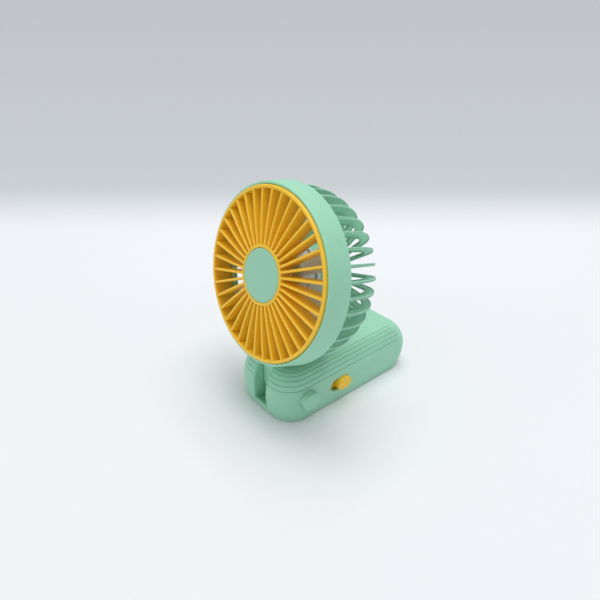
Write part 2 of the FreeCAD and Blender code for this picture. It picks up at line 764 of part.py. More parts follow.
# -------------------------------------------------- circuit_board: board with a tab for the switch
board = new_body("circuit_board")
board_sketch = new_sketch(board, "XY_Plane", board_bottom)
half_board = size.board_width / 2
draw_outline(board_sketch, [
    (-half_board, size.board_front),
    (size.board_tab_reach, size.board_front),
    (size.board_tab_reach, size.board_front + size.board_tab_length),
    (half_board, size.board_front + size.board_tab_length),
    (half_board, board_rear),
    (-half_board, board_rear),
])
add_pad(board, board_sketch, size.board_thickness)
board_holes = new_sketch(board, "XY_Plane", board_top)
for place_x, place_y in post_places:
    draw_circle(board_holes, place_x, place_y, size.screw_radius)
add_pocket(board, board_holes, size.board_thickness + 1)

# -------------------------------------------------- usb_socket: metal shell with a tongue
usb_pose = Placement(
    Vector(0, float(tail - size.wall), float(board_top + size.usb_height / 2)),
    Rotation(Vector(1, 0, 0), -90),
)
usb = new_body("usb_socket", usb_pose)
usb_shell = new_sketch(usb, "XY_Plane")
draw_stadium(usb_shell, ZERO, ZERO, size.usb_width, size.usb_height)
add_pad(usb, usb_shell, size.usb_depth, backwards=True)
usb_mouth = new_sketch(usb, "XY_Plane")
draw_stadium(usb_mouth, ZERO, ZERO, size.usb_width - size.usb_wall * 2, size.usb_height - size.usb_wall * 2)
add_pocket(usb, usb_mouth, size.usb_depth - size.usb_wall * 4)
usb_tongue = new_sketch(usb, "XY_Plane", -size.usb_depth + size.usb_wall * 2)
tongue_half = size.usb_tongue_width / 2
draw_box(usb_tongue, -tongue_half, -size.usb_wall, tongue_half, size.usb_wall)
add_pad(usb, usb_tongue, size.usb_tongue_length)

# -------------------------------------------------- charge_led: lamp behind its window
led = new_body("charge_led")
led_sketch = new_sketch(led, "XY_Plane", board_top)
draw_box(
    led_sketch,
    size.led_offset - size.led_length / 2,
    board_rear - size.led_length,
    size.led_offset + size.led_length / 2,
    board_rear,
)
add_pad(led, led_sketch, size.led_length)

# -------------------------------------------------- battery_cell and the tape that holds it
cell_top = size.handle_height - size.wall - size.fit_gap - size.tape_thickness
cell_side = side - size.battery_setback
cell_front = slot_rear + size.wall + size.battery_gap
cell_rear = tail - size.rear_column_inset - size.column_radius - size.battery_gap
battery = new_body("battery_cell")
battery_sketch = new_sketch(battery, "XY_Plane", cell_top - size.battery_thickness)
draw_box(battery_sketch, -cell_side, cell_front, cell_side, cell_rear)
battery_pad = add_pad(battery, battery_sketch, size.battery_thickness)
add_fillet(battery, battery_pad, size.battery_thickness / 4, lambda edge: abs(edge.tangentAt(0).y) > 0.9)

tape = new_body("battery_tape")
tape_sketch = new_sketch(tape, "XY_Plane", cell_top)
tape_end = (cell_rear - cell_front) * size.tape_cover / 2
cell_middle = (cell_front + cell_rear) / 2
draw_box(tape_sketch, -cell_side / 2, cell_middle - tape_end, cell_side / 2, cell_middle + tape_end)
add_pad(tape, tape_sketch, size.tape_thickness)

# -------------------------------------------------- slide switch, its stem and the knob
# Local axes of these pieces: X is the handle's +Y, Y is up, Z points out of the handle's side.
switch_pose = Placement(
    Vector(0, float(size.switch_middle), float(size.switch_height)),
    Rotation(Vector(0, 1, 0), Vector(0, 0, 1), Vector(1, 0, 0), "ZXY"),
)
slider_back = side - size.slider_setback - size.slider_thickness
case_front = slider_back - 1
knob_shift = (size.switch_slot_length - size.knob_length) / 2 - size.fit_gap
case_low = board_top - size.switch_height

switch_case = new_body("slide_switch", switch_pose)
case_sketch = new_sketch(switch_case, "XY_Plane", case_front)
draw_box(
    case_sketch,
    -size.switch_case_length / 2,
    case_low,
    size.switch_case_length / 2,
    case_low + size.switch_case_height,
)
add_pad(switch_case, case_sketch, size.switch_case_depth, backwards=True)
track = new_sketch(switch_case, "XY_Plane", case_front)
track_half = size.stem_width / 2 + knob_shift + size.fit_gap
draw_box(
    track, -track_half, -size.stem_width / 2 - size.fit_gap, track_half, size.stem_width / 2 + size.fit_gap
)
add_pocket(switch_case, track, size.switch_case_depth / 2)

stem = new_body("switch_stem", switch_pose)
stem_sketch = new_sketch(stem, "XY_Plane", case_front - size.switch_case_depth / 2 + size.fit_gap)
draw_box(
    stem_sketch,
    knob_shift - size.stem_width / 2,
    -size.stem_width / 2,
    knob_shift + size.stem_width / 2,
    size.stem_width / 2,
)
stem_length = size.switch_case_depth / 2 - size.fit_gap + 1 + size.slider_thickness / 2
add_pad(stem, stem_sketch, stem_length)

knob = new_body("switch_knob", switch_pose)
knob_height = size.switch_slot_height - size.fit_gap * 4
plate_height = size.switch_slot_height + size.slider_overlap * 2
plate_sketch = new_sketch(knob, "XY_Plane", slider_back)
plate_length = size.switch_slot_length + knob_shift * 2 + size.fit_gap * 4
draw_stadium(plate_sketch, knob_shift, ZERO, plate_length, plate_height)
add_pad(knob, plate_sketch, size.slider_thickness)
grip_sketch = new_sketch(knob, "XY_Plane", slider_back + size.slider_thickness / 2)
draw_stadium(grip_sketch, knob_shift, ZERO, size.knob_length, knob_height)
grip_top = side + size.knob_proud
grip_pad = add_pad(knob, grip_sketch, grip_top - slider_back - size.slider_thickness / 2)
add_fillet(
    knob, grip_pad, size.knob_rounding, lambda edge: edge.BoundBox.ZMin > float(grip_top) - 0.01
)
stem_pocket = new_sketch(knob, "XY_Plane", slider_back)
pocket_half = size.stem_width / 2 + size.running_gap
draw_box(stem_pocket, knob_shift - pocket_half, -pocket_half, knob_shift + pocket_half, pocket_half)
add_pocket(knob, stem_pocket, size.slider_thickness / 2 + size.fit_gap, backwards=True)

# -------------------------------------------------- hinge: pin, bush, plug, button and spring
pin_start = -side + size.wall
pin_end = cheek + size.pin_reach
turn_profile("hinge_pin", hinge_pose, [
    (ZERO, pin_start),
    (size.pin_head_radius, pin_start),
    (size.pin_head_radius, pin_start + size.pin_head_length),
    (size.pin_radius, pin_start + size.pin_head_length),
    (size.pin_radius, pin_end),
    (ZERO, pin_end),
])

turn_profile("pin_cap", hinge_pose, [
    (ZERO, -side),
    (size.pin_cap_radius, -side),
    (size.pin_cap_radius, pin_start - size.fit_gap),
    (ZERO, pin_start - size.fit_gap),
])

sleeve_end = neck_half - size.sleeve_bite
bush_end = sleeve_end - size.button_travel - size.fit_gap * 3
turn_profile("hinge_bush", hinge_pose, [
    (size.pin_radius + size.running_gap, -neck_half),
    (size.bush_radius, -neck_half),
    (size.bush_radius, bush_end),
    (size.pin_radius + size.running_gap, bush_end),
])

flange_top = inner_side - size.fit_gap
flange_low = flange_top - size.flange_thickness
button_face = side + size.button_proud
pin_room = size.pin_radius + size.running_gap
turn_profile("release_button", hinge_pose, [
    (pin_room, sleeve_end),
    (size.sleeve_radius, sleeve_end),
    (size.sleeve_radius, flange_low),
    (size.button_radius + size.button_flange, flange_low),
    (size.button_radius + size.button_flange, flange_top),
    (size.button_radius, flange_top),
    (size.button_radius, button_face - size.button_rounding),
    (size.button_radius - size.button_rounding, button_face),
    (ZERO, button_face),
    (ZERO, flange_top),
    (pin_room, flange_top),
], {6: (size.button_rounding, 1)})


def make_button_spring():
    """Compression coil round the sleeve: half turns, tilted one way and the other, that join smoothly."""
    wire_radius = float(size.spring_wire) / 2
    low = float(cheek) + wire_radius + float(size.running_gap)
    high = float(flange_low) - wire_radius - float(size.running_gap)
    coil_radius = float(size.sleeve_radius + size.fit_gap * 3) + wire_radius
    halves = round(float(size.spring_turns)) * 2
    rise = (high - low) / halves
    pieces = []
    for step in range(halves):
        way = 1 if step % 2 == 0 else -1
        start = Vector(way * coil_radius, 0, low + rise * step)
        end = Vector(-way * coil_radius, 0, low + rise * (step + 1))
        middle = (start + end) / 2
        section = Part.Face(Part.Wire(Part.makeCircle(wire_radius, start, Vector(0, 1, 0))))
        pieces.append(section.revolve(middle, (start - middle).cross(Vector(0, way, 0)), 180))
    return pieces[0].multiFuse(pieces[1:])


new_feature("button_spring", make_button_spring(), hinge_pose)


# -------------------------------------------------- head_housing: ring, rear cage, motor cup, neck
def rib_section():
    """Outline of a rib in its own plane: straight back from the ring, round the shoulder, in to the cup."""
    outside = float(size.cage_radius)
    straight = -float(size.cage_straight)
    back = -float(size.cage_depth)
    front = -float(size.ring_depth) + 1
    depth = float(size.rib_depth)
    turn_radius = outside - float(size.cage_shoulder)
    inward = float(size.cage_shoulder)
    backward = straight - back
    root = float(size.cup_radius) - 1

    def shoulder(across, along):
        """A quarter of an ellipse about the end of the straight run, as radii and heights."""
        return [
            Vector(turn_radius + across * math.cos(angle), 0, straight - along * math.sin(angle))
            for angle in (math.radians(step * 15) for step in range(7))
        ]

    outer = Part.BSplineCurve()
    outer.interpolate(shoulder(inward, backward))
    inner = Part.BSplineCurve()
    inner.interpolate(shoulder(inward - depth, backward - depth))
    corners = [
        outer.EndPoint,
        Vector(root, 0, back),
        Vector(root, 0, back + depth),
        inner.EndPoint,
    ]
    edges = [Part.LineSegment(Vector(outside, 0, front), outer.StartPoint).toShape(), outer.toShape()]
    edges += [Part.LineSegment(a, b).toShape() for a, b in zip(corners, corners[1:])]
    edges += [
        inner.toShape(),
        Part.LineSegment(inner.StartPoint, Vector(outside - depth, 0, front)).toShape(),
        Part.LineSegment(Vector(outside - depth, 0, front), Vector(outside, 0, front)).toShape(),
    ]
    return Part.Face(Part.Wire(Part.__sortEdges__(edges)))


def rib_solid(thickness, angle):
    """One rib of a thickness, at an angle from the head's own +X."""
    face = rib_section()
    face.translate(Vector(0, -float(thickness) / 2, 0))
    solid = face.extrude(Vector(0, float(thickness), 0))
    solid.rotate(Vector(0, 0, 0), Vector(0, 0, 1), angle)
    return solid


def make_neck():
    """Neck between head and hinge, in the head's own frame: an upright blade with a rounded foot."""
    half = float(neck_half)
    radius = float(size.knuckle_radius)
    hinge = float(size.hinge_height)
    head_bottom = float(size.hinge_height + size.head_rise) - float(ring_back_radius)
    rise = head_bottom + float(size.rib_depth) - hinge
    foot = cross_rod(radius, -half, half)
    blade = Part.makeBox(2 * half, 2 * radius, rise, Vector(-half, -radius, hinge))
    neck = foot.fuse(blade).removeSplitter()
    rounding = float(size.neck_rounding)
    rim = [edge for edge in neck.Edges if abs(abs(edge.BoundBox.Center.x) - half) < 0.001]
    rim = [edge for edge in rim if edge.BoundBox.ZMin < hinge + rise - 0.001]
    neck = neck.makeFillet(rounding, rim)
    neck = neck.transformed(head_pose.inverse().toMatrix())
    inside = float(size.cage_radius - size.rib_depth / 2)
    depth = float(size.cage_depth)
    return neck.cut(Part.makeCylinder(inside, 3 * depth, Vector(0, 0, -2 * depth)))


def make_head_housing():
    """One moulding: the ring round the grille, 36 ribs behind it, the cup for the motor, and the neck."""
    rim = size.rim_radius + size.fit_gap
    seat = -size.skirt_depth - size.fit_gap
    shelf = size.cage_radius - size.rib_depth
    groove_low = -size.bead_depth - size.bead_height - size.fit_gap
    groove_high = -size.bead_depth + size.bead_height + size.fit_gap
    groove_radius = rim + size.bead_height
    lip = ring_front_radius - rim
    ring = turned_solid([
        (shelf, seat),
        (rim, seat),
        (rim, groove_low),
        (groove_radius, groove_low),
        (groove_radius, groove_high),
        (rim, groove_high),
        (rim, -lip / 4),
        (rim + lip / 4, ZERO),
        (rim + lip / 2, ZERO),
        (ring_front_radius - lip / 8, -lip / 5),
        (ring_front_radius, -lip / 2),
        (ring_back_radius, -size.ring_depth + lip / 4),
        (ring_back_radius - lip / 4, -size.ring_depth),
        (shelf, -size.ring_depth),
    ])
    floor = -size.cage_depth + size.cup_floor
    bore = size.motor_radius + size.running_gap
    edge = size.cup_floor / 2
    cup = turned_solid([
        (ZERO, -size.cage_depth),
        (size.cup_radius - edge, -size.cage_depth),
        (size.cup_radius, -size.cage_depth + edge),
        (size.cup_radius, can_front),
        (bore, can_front),
        (bore, floor),
        (ZERO, floor),
    ])
    count = round(float(size.rib_count))
    rib_angles = [float(size.rib_turn) + 360 / count * step for step in range(count)]
    ribs = [rib_solid(size.rib_thickness, angle) for angle in rib_angles]
    spine = rib_solid(neck_half * 2, 270)
    solid = ring.multiFuse([cup, spine, make_neck()] + ribs)
    motor_room = Part.makeCylinder(
        float(bore), float(size.motor_length + size.retainer_thickness), Vector(0, 0, float(floor))
    )
    solid = solid.cut(motor_room)

    def hinge_hole(radius, low, high):
        """A hole on the hinge axis, seen from the head."""
        return cross_rod(radius, low, high).transformed(head_pose.inverse().toMatrix())

    bush_hole = hinge_hole(size.bush_radius + size.running_gap, -neck_half - 1, bush_end + size.fit_gap)
    sleeve_hole = hinge_hole(size.sleeve_radius + size.running_gap, bush_end, neck_half + 1)
    screw_holes = []
    thread_radius = size.retainer_screw_radius - size.running_gap
    for step in range(round(float(size.retainer_screws))):
        angle = math.radians(90 + 360 / float(size.retainer_screws) * step)
        x = float(size.retainer_circle) * math.cos(angle)
        y = float(size.retainer_circle) * math.sin(angle)
        low = can_front - size.retainer_screw_length
        screw_holes.append(upright_rod(thread_radius, x, y, low, can_front + 1))
    return keep_largest(solid.cut([bush_hole, sleeve_hole] + screw_holes))


new_feature("head_housing", make_head_housing(), head_pose)

# -------------------------------------------------- front_grille: domed grille with its hub
grille = new_body("front_grille", head_pose)
rim_inner = size.rim_radius - size.rim_band
rim_crown = size.crown_rise - size.crown_fall
skirt_outer = size.rim_radius - size.fit_gap
rim_sketch = new_sketch(grille, "XZ_Plane")
draw_outline(rim_sketch, [
    (rim_inner, -size.skirt_depth),
    (skirt_outer, -size.skirt_depth),
    (skirt_outer, -size.bead_depth - size.bead_height),
    (skirt_outer + size.bead_height, -size.bead_depth),
    (skirt_outer, -size.bead_depth + size.bead_height),
    (skirt_outer, -size.rim_band / 10),
    (skirt_outer, ZERO),
    (size.rim_radius - size.rim_band / 3, rim_crown),
    (rim_inner, rim_crown),
], {6: (size.rim_band * 0.6, 1)})
add_revolution(grille, rim_sketch)
hub_sketch = new_sketch(grille, "XZ_Plane")
cap_bottom = size.crown_rise - size.cap_thickness - size.fit_gap
draw_outline(hub_sketch, [
    (size.peg_radius + size.fit_gap, cap_bottom - size.hub_floor),
    (size.cap_radius, cap_bottom - size.hub_floor),
    (size.cap_radius, -size.fin_back),
    (size.hub_radius, -size.fin_back),
    (size.hub_radius, size.crown_rise - size.fit_gap),
    (size.cap_radius + size.fit_gap, size.crown_rise),
    (size.cap_radius, cap_bottom),
    (size.peg_radius + size.fit_gap, cap_bottom),
])
add_revolution(grille, hub_sketch)
fin_sketch = new_sketch(grille, "XZ_Plane")
fin_root = (size.cap_radius + size.hub_radius) / 2
fin_tip = rim_inner + size.rim_band / 2
dome_radius = size.rim_radius * size.rim_radius / (size.crown_fall * 2)
draw_outline(fin_sketch, [
    (fin_root, -size.fin_back),
    (fin_tip, -size.fin_back),
    (fin_tip, rim_crown - size.fit_gap),
    (fin_root, size.crown_rise - size.fit_gap * 2),
], {2: (dome_radius, 1)})
fin = add_pad(grille, fin_sketch, size.fin_thickness, symmetric=True)
add_polar_pattern(grille, fin, size.fin_count)
grille.Placement = head_pose.multiply(Placement(Vector(), Rotation(Vector(0, 0, 1), float(size.fin_turn))))

# -------------------------------------------------- hub_cap: disc pegged into the grille
cap_edge = size.cap_thickness / 4
turn_profile("hub_cap", head_pose, [
    (ZERO, size.crown_rise - size.cap_thickness - size.hub_floor * 2),
    (size.peg_radius, size.crown_rise - size.cap_thickness - size.hub_floor * 2),
    (size.peg_radius, size.crown_rise - size.cap_thickness),
    (size.cap_radius - size.fit_gap, size.crown_rise - size.cap_thickness),
    (size.cap_radius - size.fit_gap, size.crown_rise - cap_edge),
    (size.cap_radius - size.fit_gap - cap_edge, size.crown_rise),
    (ZERO, size.crown_rise),
], {4: (cap_edge, 1)})

# -------------------------------------------------- motor: can, end, bushes, magnets, rotor, shaft
bush_bore = size.shaft_radius + size.running_gap
bush_outer = size.motor_bush_radius
turn_profile("motor_can", head_pose, [
    (size.motor_radius - size.can_wall, can_back),
    (size.motor_radius, can_back),
    (size.motor_radius, can_front),
    (size.nose_boss_radius, can_front),
    (size.nose_boss_radius, can_front + size.can_wall),
    (bush_outer + size.running_gap, can_front + size.can_wall),
    (bush_outer + size.running_gap, can_front - size.can_wall),
    (size.motor_radius - size.can_wall, can_front - size.can_wall),
])
turn_profile("motor_end_cap", head_pose, [
    (bush_outer + size.running_gap, can_back),
    (size.motor_radius - size.can_wall - size.running_gap, can_back),
    (size.motor_radius - size.can_wall - size.running_gap, can_back + size.end_cap_thickness),
    (bush_outer + size.running_gap, can_back + size.end_cap_thickness),
])


def motor_bush(low):
    """One plain bush of the motor shaft."""
    rod = upright_rod(bush_outer, 0, 0, low, low + size.motor_bush_length)
    return rod.cut(upright_rod(bush_bore, 0, 0, low - 1, low + size.motor_bush_length + 1))


new_feature(
    "motor_bushes",
    Part.makeCompound([
        motor_bush(can_back + (size.end_cap_thickness - size.motor_bush_length) / 2),
        motor_bush(can_front - size.motor_bush_length / 2),
    ]),
    head_pose,
)

magnet_outer = size.motor_radius - size.can_wall - size.running_gap
magnet_inner = magnet_outer - size.magnet_thickness
magnet_low = can_back + size.end_cap_thickness + size.fit_gap


def motor_magnet(angle):
    """One curved magnet against the can's wall."""
    points = [
        (magnet_inner, magnet_low),
        (magnet_outer, magnet_low),
        (magnet_outer, magnet_low + size.magnet_length),
        (magnet_inner, magnet_low + size.magnet_length),
    ]
    places = [Vector(float(radius), 0, float(height)) for radius, height in points]
    face = Part.Face(Part.makePolygon(places + places[:1]))
    solid = face.revolve(Vector(0, 0, 0), Vector(0, 0, 1), float(size.magnet_angle))
    solid.rotate(Vector(0, 0, 0), Vector(0, 0, 1), angle - float(size.magnet_angle) / 2)
    return solid


new_feature("motor_magnets", Part.makeCompound([motor_magnet(0), motor_magnet(180)]), head_pose)

core_low = magnet_low + (size.magnet_length - size.core_length) / 2
rotor = new_body("rotor_core", head_pose)
rotor_sketch = new_sketch(rotor, "XZ_Plane")
rotor_radius = magnet_inner - size.air_gap
draw_box(rotor_sketch, size.shaft_radius, core_low, rotor_radius, core_low + size.core_length)
add_revolution(rotor, rotor_sketch)
winding_sketch = new_sketch(rotor, "XY_Plane", core_low + size.core_length)
winding_half = size.magnet_thickness / 2
draw_box(winding_sketch, rotor_radius / 2, -winding_half, rotor_radius + 1, winding_half)
winding_slot = add_pocket(rotor, winding_sketch, size.core_length + 1)
add_polar_pattern(rotor, winding_slot, as_size(3))

turn_profile("motor_shaft", head_pose, [
    (ZERO, can_back + size.running_gap * 2),
    (size.shaft_radius, can_back + size.running_gap * 2),
    (size.shaft_radius, impeller_front - size.impeller_wall),
    (ZERO, impeller_front - size.impeller_wall),
])

# -------------------------------------------------- motor_retainer: plate and screws over the motor
retainer = new_body("motor_retainer", head_pose)
retainer_sketch = new_sketch(retainer, "XY_Plane", retainer_low)
draw_circle(retainer_sketch, ZERO, ZERO, size.cup_radius)
draw_circle(retainer_sketch, ZERO, ZERO, size.nose_boss_radius + size.fit_gap)
add_pad(retainer, retainer_sketch, size.retainer_thickness)
retainer_hole = new_sketch(retainer, "XY_Plane", retainer_top)
draw_circle(retainer_hole, ZERO, size.retainer_circle, size.retainer_screw_radius + size.fit_gap)
first_hole = add_pocket(retainer, retainer_hole, size.retainer_thickness + 1)
add_polar_pattern(retainer, first_hole, size.retainer_screws)

retainer_screws = []
for screw_step in range(round(float(size.retainer_screws))):
    screw_angle = math.radians(90 + 360 / float(size.retainer_screws) * screw_step)
    retainer_screws.append(screw_solid(
        float(size.retainer_circle) * math.cos(screw_angle),
        float(size.retainer_circle) * math.sin(screw_angle),
        retainer_top,
        size.retainer_head_radius,
        size.retainer_head_length,
        size.retainer_screw_radius - size.fit_gap,
        size.retainer_screw_length,
        1,
    ))
new_feature("retainer_screws", Part.makeCompound(retainer_screws), head_pose)


# -------------------------------------------------- impeller: hub cup with twisted blades
def blade_section(radius, chord, pitch):
    """A thin cambered section, square to the blade at a radius from the axis."""
    half = chord / 2
    camber = chord * float(size.blade_camber)
    thickness = float(size.blade_thickness)
    middle = float(impeller_front - size.blade_setback)
    cosine = math.cos(math.radians(pitch))
    sine = math.sin(math.radians(pitch))

    def place(along, off):
        """A point of the section: along the chord, and off it."""
        return Vector(along * cosine - off * sine, radius, along * sine + off * cosine + middle)

    upper = Part.Arc(place(-half, 0), place(0, camber + thickness / 2), place(half, 0))
    lower = Part.Arc(place(half, 0), place(0, camber - thickness / 2), place(-half, 0))
    return Part.Wire([upper.toShape(), lower.toShape()])


def make_impeller():
    """Seven-bladed impeller: a cup-shaped hub on the shaft, with blades that flatten towards the tip."""
    front = impeller_front
    back = impeller_back
    inside = size.impeller_hub - size.impeller_wall
    hub = turned_solid([
        (size.shaft_radius, front - size.impeller_wall),
        (size.shaft_radius, back + size.impeller_wall / 2),
        (size.impeller_boss, back + size.impeller_wall / 2),
        (size.impeller_boss, front - size.impeller_wall),
        (inside, front - size.impeller_wall),
        (inside, back),
        (size.impeller_hub, back),
        (size.impeller_hub, front - size.impeller_wall),
        (size.impeller_hub - size.impeller_wall, front),
        (ZERO, front),
        (ZERO, front - size.impeller_wall),
    ])
    root = float(inside) + float(size.impeller_wall) / 3
    reach = float(size.impeller_radius) + 2 - root
    stations = 4
    sections = []
    for step in range(stations + 1):
        share = step / stations
        chord = float(size.blade_root_chord) * (1 - share) + float(size.blade_tip_chord) * share
        pitch = float(size.blade_root_pitch) * (1 - share) + float(size.blade_tip_pitch) * share
        sections.append(blade_section(root + reach * share, chord, pitch))
    blade = Part.makeLoft(sections, True, False)
    sweep = upright_rod(size.impeller_radius, 0, 0, -size.cage_depth, ZERO)
    sweep = sweep.cut(upright_rod(root, 0, 0, -size.cage_depth, ZERO))
    blade = blade.common(sweep)
    blades = []
    count = round(float(size.blade_count))
    for step in range(count):
        copy = blade.copy()
        copy.rotate(Vector(0, 0, 0), Vector(0, 0, 1), 360 / count * step)
        blades.append(copy)
    return hub.multiFuse(blades)


new_feature("impeller", make_impeller(), head_pose)

# -------------------------------------------------- check and write
doc.recompute()
for item in doc.Objects:
    bad_states = [state for state in item.State if state in ("Invalid", "Error")]
    if bad_states:
        raise RuntimeError(f"{item.Name} is {bad_states}")
for node in nodes:
    if node.Shape.isNull() or not node.Shape.isValid():
        raise RuntimeError(f"{node.Label} has no valid shape")

os.makedirs("parts", exist_ok=True)
for node in nodes:
    node.Shape.exportStep(f"parts/{node.Label}.step")
    box = node.Shape.BoundBox
    print(f"{node.Label:16s} solids {len(node.Shape.Solids)} volume {node.Shape.Volume:9.1f}", end="")
    print(f"  x {box.XMin:6.1f} {box.XMax:6.1f}  y {box.YMin:6.1f} {box.YMax:6.1f}", end="")
    print(f"  z {box.ZMin:6.1f} {box.ZMax:6.1f}")
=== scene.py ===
import json
import math

import bmesh
import bpy
from mathutils import Matrix, Vector


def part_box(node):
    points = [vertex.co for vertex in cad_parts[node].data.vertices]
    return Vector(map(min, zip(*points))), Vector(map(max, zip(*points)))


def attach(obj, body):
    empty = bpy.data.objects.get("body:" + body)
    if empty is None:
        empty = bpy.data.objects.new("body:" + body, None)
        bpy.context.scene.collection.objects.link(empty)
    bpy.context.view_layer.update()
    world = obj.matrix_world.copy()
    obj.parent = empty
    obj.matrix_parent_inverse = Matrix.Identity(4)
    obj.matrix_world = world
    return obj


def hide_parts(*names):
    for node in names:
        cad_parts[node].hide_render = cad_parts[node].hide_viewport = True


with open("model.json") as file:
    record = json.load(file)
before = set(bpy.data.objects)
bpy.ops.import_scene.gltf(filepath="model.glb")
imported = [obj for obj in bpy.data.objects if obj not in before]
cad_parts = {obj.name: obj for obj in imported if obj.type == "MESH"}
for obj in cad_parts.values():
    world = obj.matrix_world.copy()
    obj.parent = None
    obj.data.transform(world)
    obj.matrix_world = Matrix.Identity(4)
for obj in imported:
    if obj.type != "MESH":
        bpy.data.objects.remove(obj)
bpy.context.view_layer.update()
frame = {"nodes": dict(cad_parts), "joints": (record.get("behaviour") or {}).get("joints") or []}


# ============================================================================ base cover
# Flat plate that closes the handle from below, injection-moulded in the same mint ABS as the shell.
# Four screws from underneath pull it against the shell, and its rounded foot is what stands on the table.
def mm(length):
    """A length in millimetres as metres: sizes of pieces and of patterns are written in millimetres."""
    return length / 1000


def colour(code):
    """An sRGB hex colour such as "A3DDC0" as linear red, green, blue and alpha."""
    channels = [int(code[place:place + 2], 16) / 255 for place in (0, 2, 4)]
    return [c / 12.92 if c <= 0.04045 else ((c + 0.055) / 1.055) ** 2.4 for c in channels] + [1.0]


def add_node(tree, kind, settings=None, sockets=None):
    """One node with its settings; a socket takes either a value or the output that feeds it.

    A socket goes by its name, or by its number where two of them share a name.
    """
    node = tree.nodes.new(kind)
    for name, value in (settings or {}).items():
        setattr(node, name, value)
    for name, value in (sockets or {}).items():
        if isinstance(value, bpy.types.NodeSocket):
            tree.links.new(value, node.inputs[name])
        else:
            node.inputs[name].default_value = value
    return node


def new_material(name, sockets):
    """A material with one Principled shader, and its object coordinates."""
    material = bpy.data.materials.new(name)
    material.use_nodes = True
    tree = material.node_tree
    shader = next(node for node in tree.nodes if node.type == "BSDF_PRINCIPLED")
    for socket, value in sockets.items():
        shader.inputs[socket].default_value = value
    place = add_node(tree, "ShaderNodeTexCoord").outputs["Object"]
    return material, tree, shader, place


def moulded_abs(name, base, shade, roughness, glow, light_reach):
    """ABS from a spark-eroded mould: satin, very slightly mottled, with a fine even grain.

    The real grain is about 0.1 mm. It is drawn at 0.5 mm, the finest that shows at this size. Light goes
    a little way into the plastic, so thin ribs glow and fine lines look soft: light_reach is how far red,
    green and blue go, in mm.
    """
    grain_size = mm(0.5)
    flow_size = mm(22)
    material, tree, shader, place = new_material(name, {
        "IOR": 1.53,
        "Subsurface Weight": glow,
        "Subsurface Radius": [mm(reach) for reach in light_reach],
        "Subsurface Scale": 1.0,
    })
    flow = add_node(tree, "ShaderNodeTexNoise", sockets={
        "Vector": place, "Scale": 1 / flow_size, "Detail": 3.0, "Roughness": 0.5,
    })
    tone = add_node(tree, "ShaderNodeMix", {"data_type": "RGBA"}, {
        "Factor": flow.outputs["Fac"], 6: colour(base), 7: colour(shade),
    })
    tree.links.new(tone.outputs[2], shader.inputs["Base Color"])
    grain = add_node(tree, "ShaderNodeTexNoise", sockets={
        "Vector": place, "Scale": 1 / grain_size, "Detail": 2.0, "Roughness": 0.6,
    })
    gloss = add_node(tree, "ShaderNodeMapRange", sockets={
        "Value": grain.outputs["Fac"], "From Min": 0.25, "From Max": 0.75,
        "To Min": roughness - 0.05, "To Max": roughness + 0.06,
    })
    tree.links.new(gloss.outputs["Result"], shader.inputs["Roughness"])
    bump = add_node(tree, "ShaderNodeBump", sockets={
        "Strength": 0.16, "Distance": mm(0.04), "Height": grain.outputs["Fac"],
    })
    tree.links.new(bump.outputs["Normal"], shader.inputs["Normal"])
    return material


def welded_smooth(name, limit):
    """Geometry Nodes tree: weld the loose triangles, shade them smooth, keep edges over the limit sharp."""
    tree = bpy.data.node_groups.new(name, "GeometryNodeTree")
    tree.interface.new_socket("Geometry", in_out="INPUT", socket_type="NodeSocketGeometry")
    angle = tree.interface.new_socket("Sharp angle", in_out="INPUT", socket_type="NodeSocketFloat")
    angle.default_value = limit
    tree.interface.new_socket("Geometry", in_out="OUTPUT", socket_type="NodeSocketGeometry")
    entry = add_node(tree, "NodeGroupInput")
    weld = add_node(tree, "GeometryNodeMergeByDistance", sockets={
        "Geometry": entry.outputs["Geometry"], "Distance": mm(0.002),
    })
    faces = add_node(tree, "GeometryNodeSetShadeSmooth", {"domain": "FACE"}, {
        "Geometry": weld.outputs["Geometry"], "Shade Smooth": True,
    })
    between = add_node(tree, "GeometryNodeInputMeshEdgeAngle")
    sharp = add_node(tree, "FunctionNodeCompare", {"data_type": "FLOAT", "operation": "GREATER_THAN"}, {
        0: between.outputs["Unsigned Angle"], 1: entry.outputs["Sharp angle"],
    })
    edges = add_node(tree, "GeometryNodeSetShadeSmooth", {"domain": "EDGE"}, {
        "Geometry": faces.outputs["Geometry"], "Selection": sharp.outputs["Result"], "Shade Smooth": False,
    })
    add_node(tree, "NodeGroupOutput", sockets={"Geometry": edges.outputs["Geometry"]})
    return tree


shading = welded_smooth("welded_smooth_shading", math.radians(28))


def dress(node, material):
    """Give a CAD node its material and smooth shading; its own mesh stays as it is."""
    piece = frame["nodes"][node]
    piece.data.materials.clear()
    piece.data.materials.append(material)
    piece.modifiers.new("shading", "NODES").node_group = shading


mint_abs = moulded_abs("mint moulded ABS", "A3DDC0", "99D6B6", 0.42, 0.4, (1.6, 2.2, 1.8))
dress("base_cover", mint_abs)


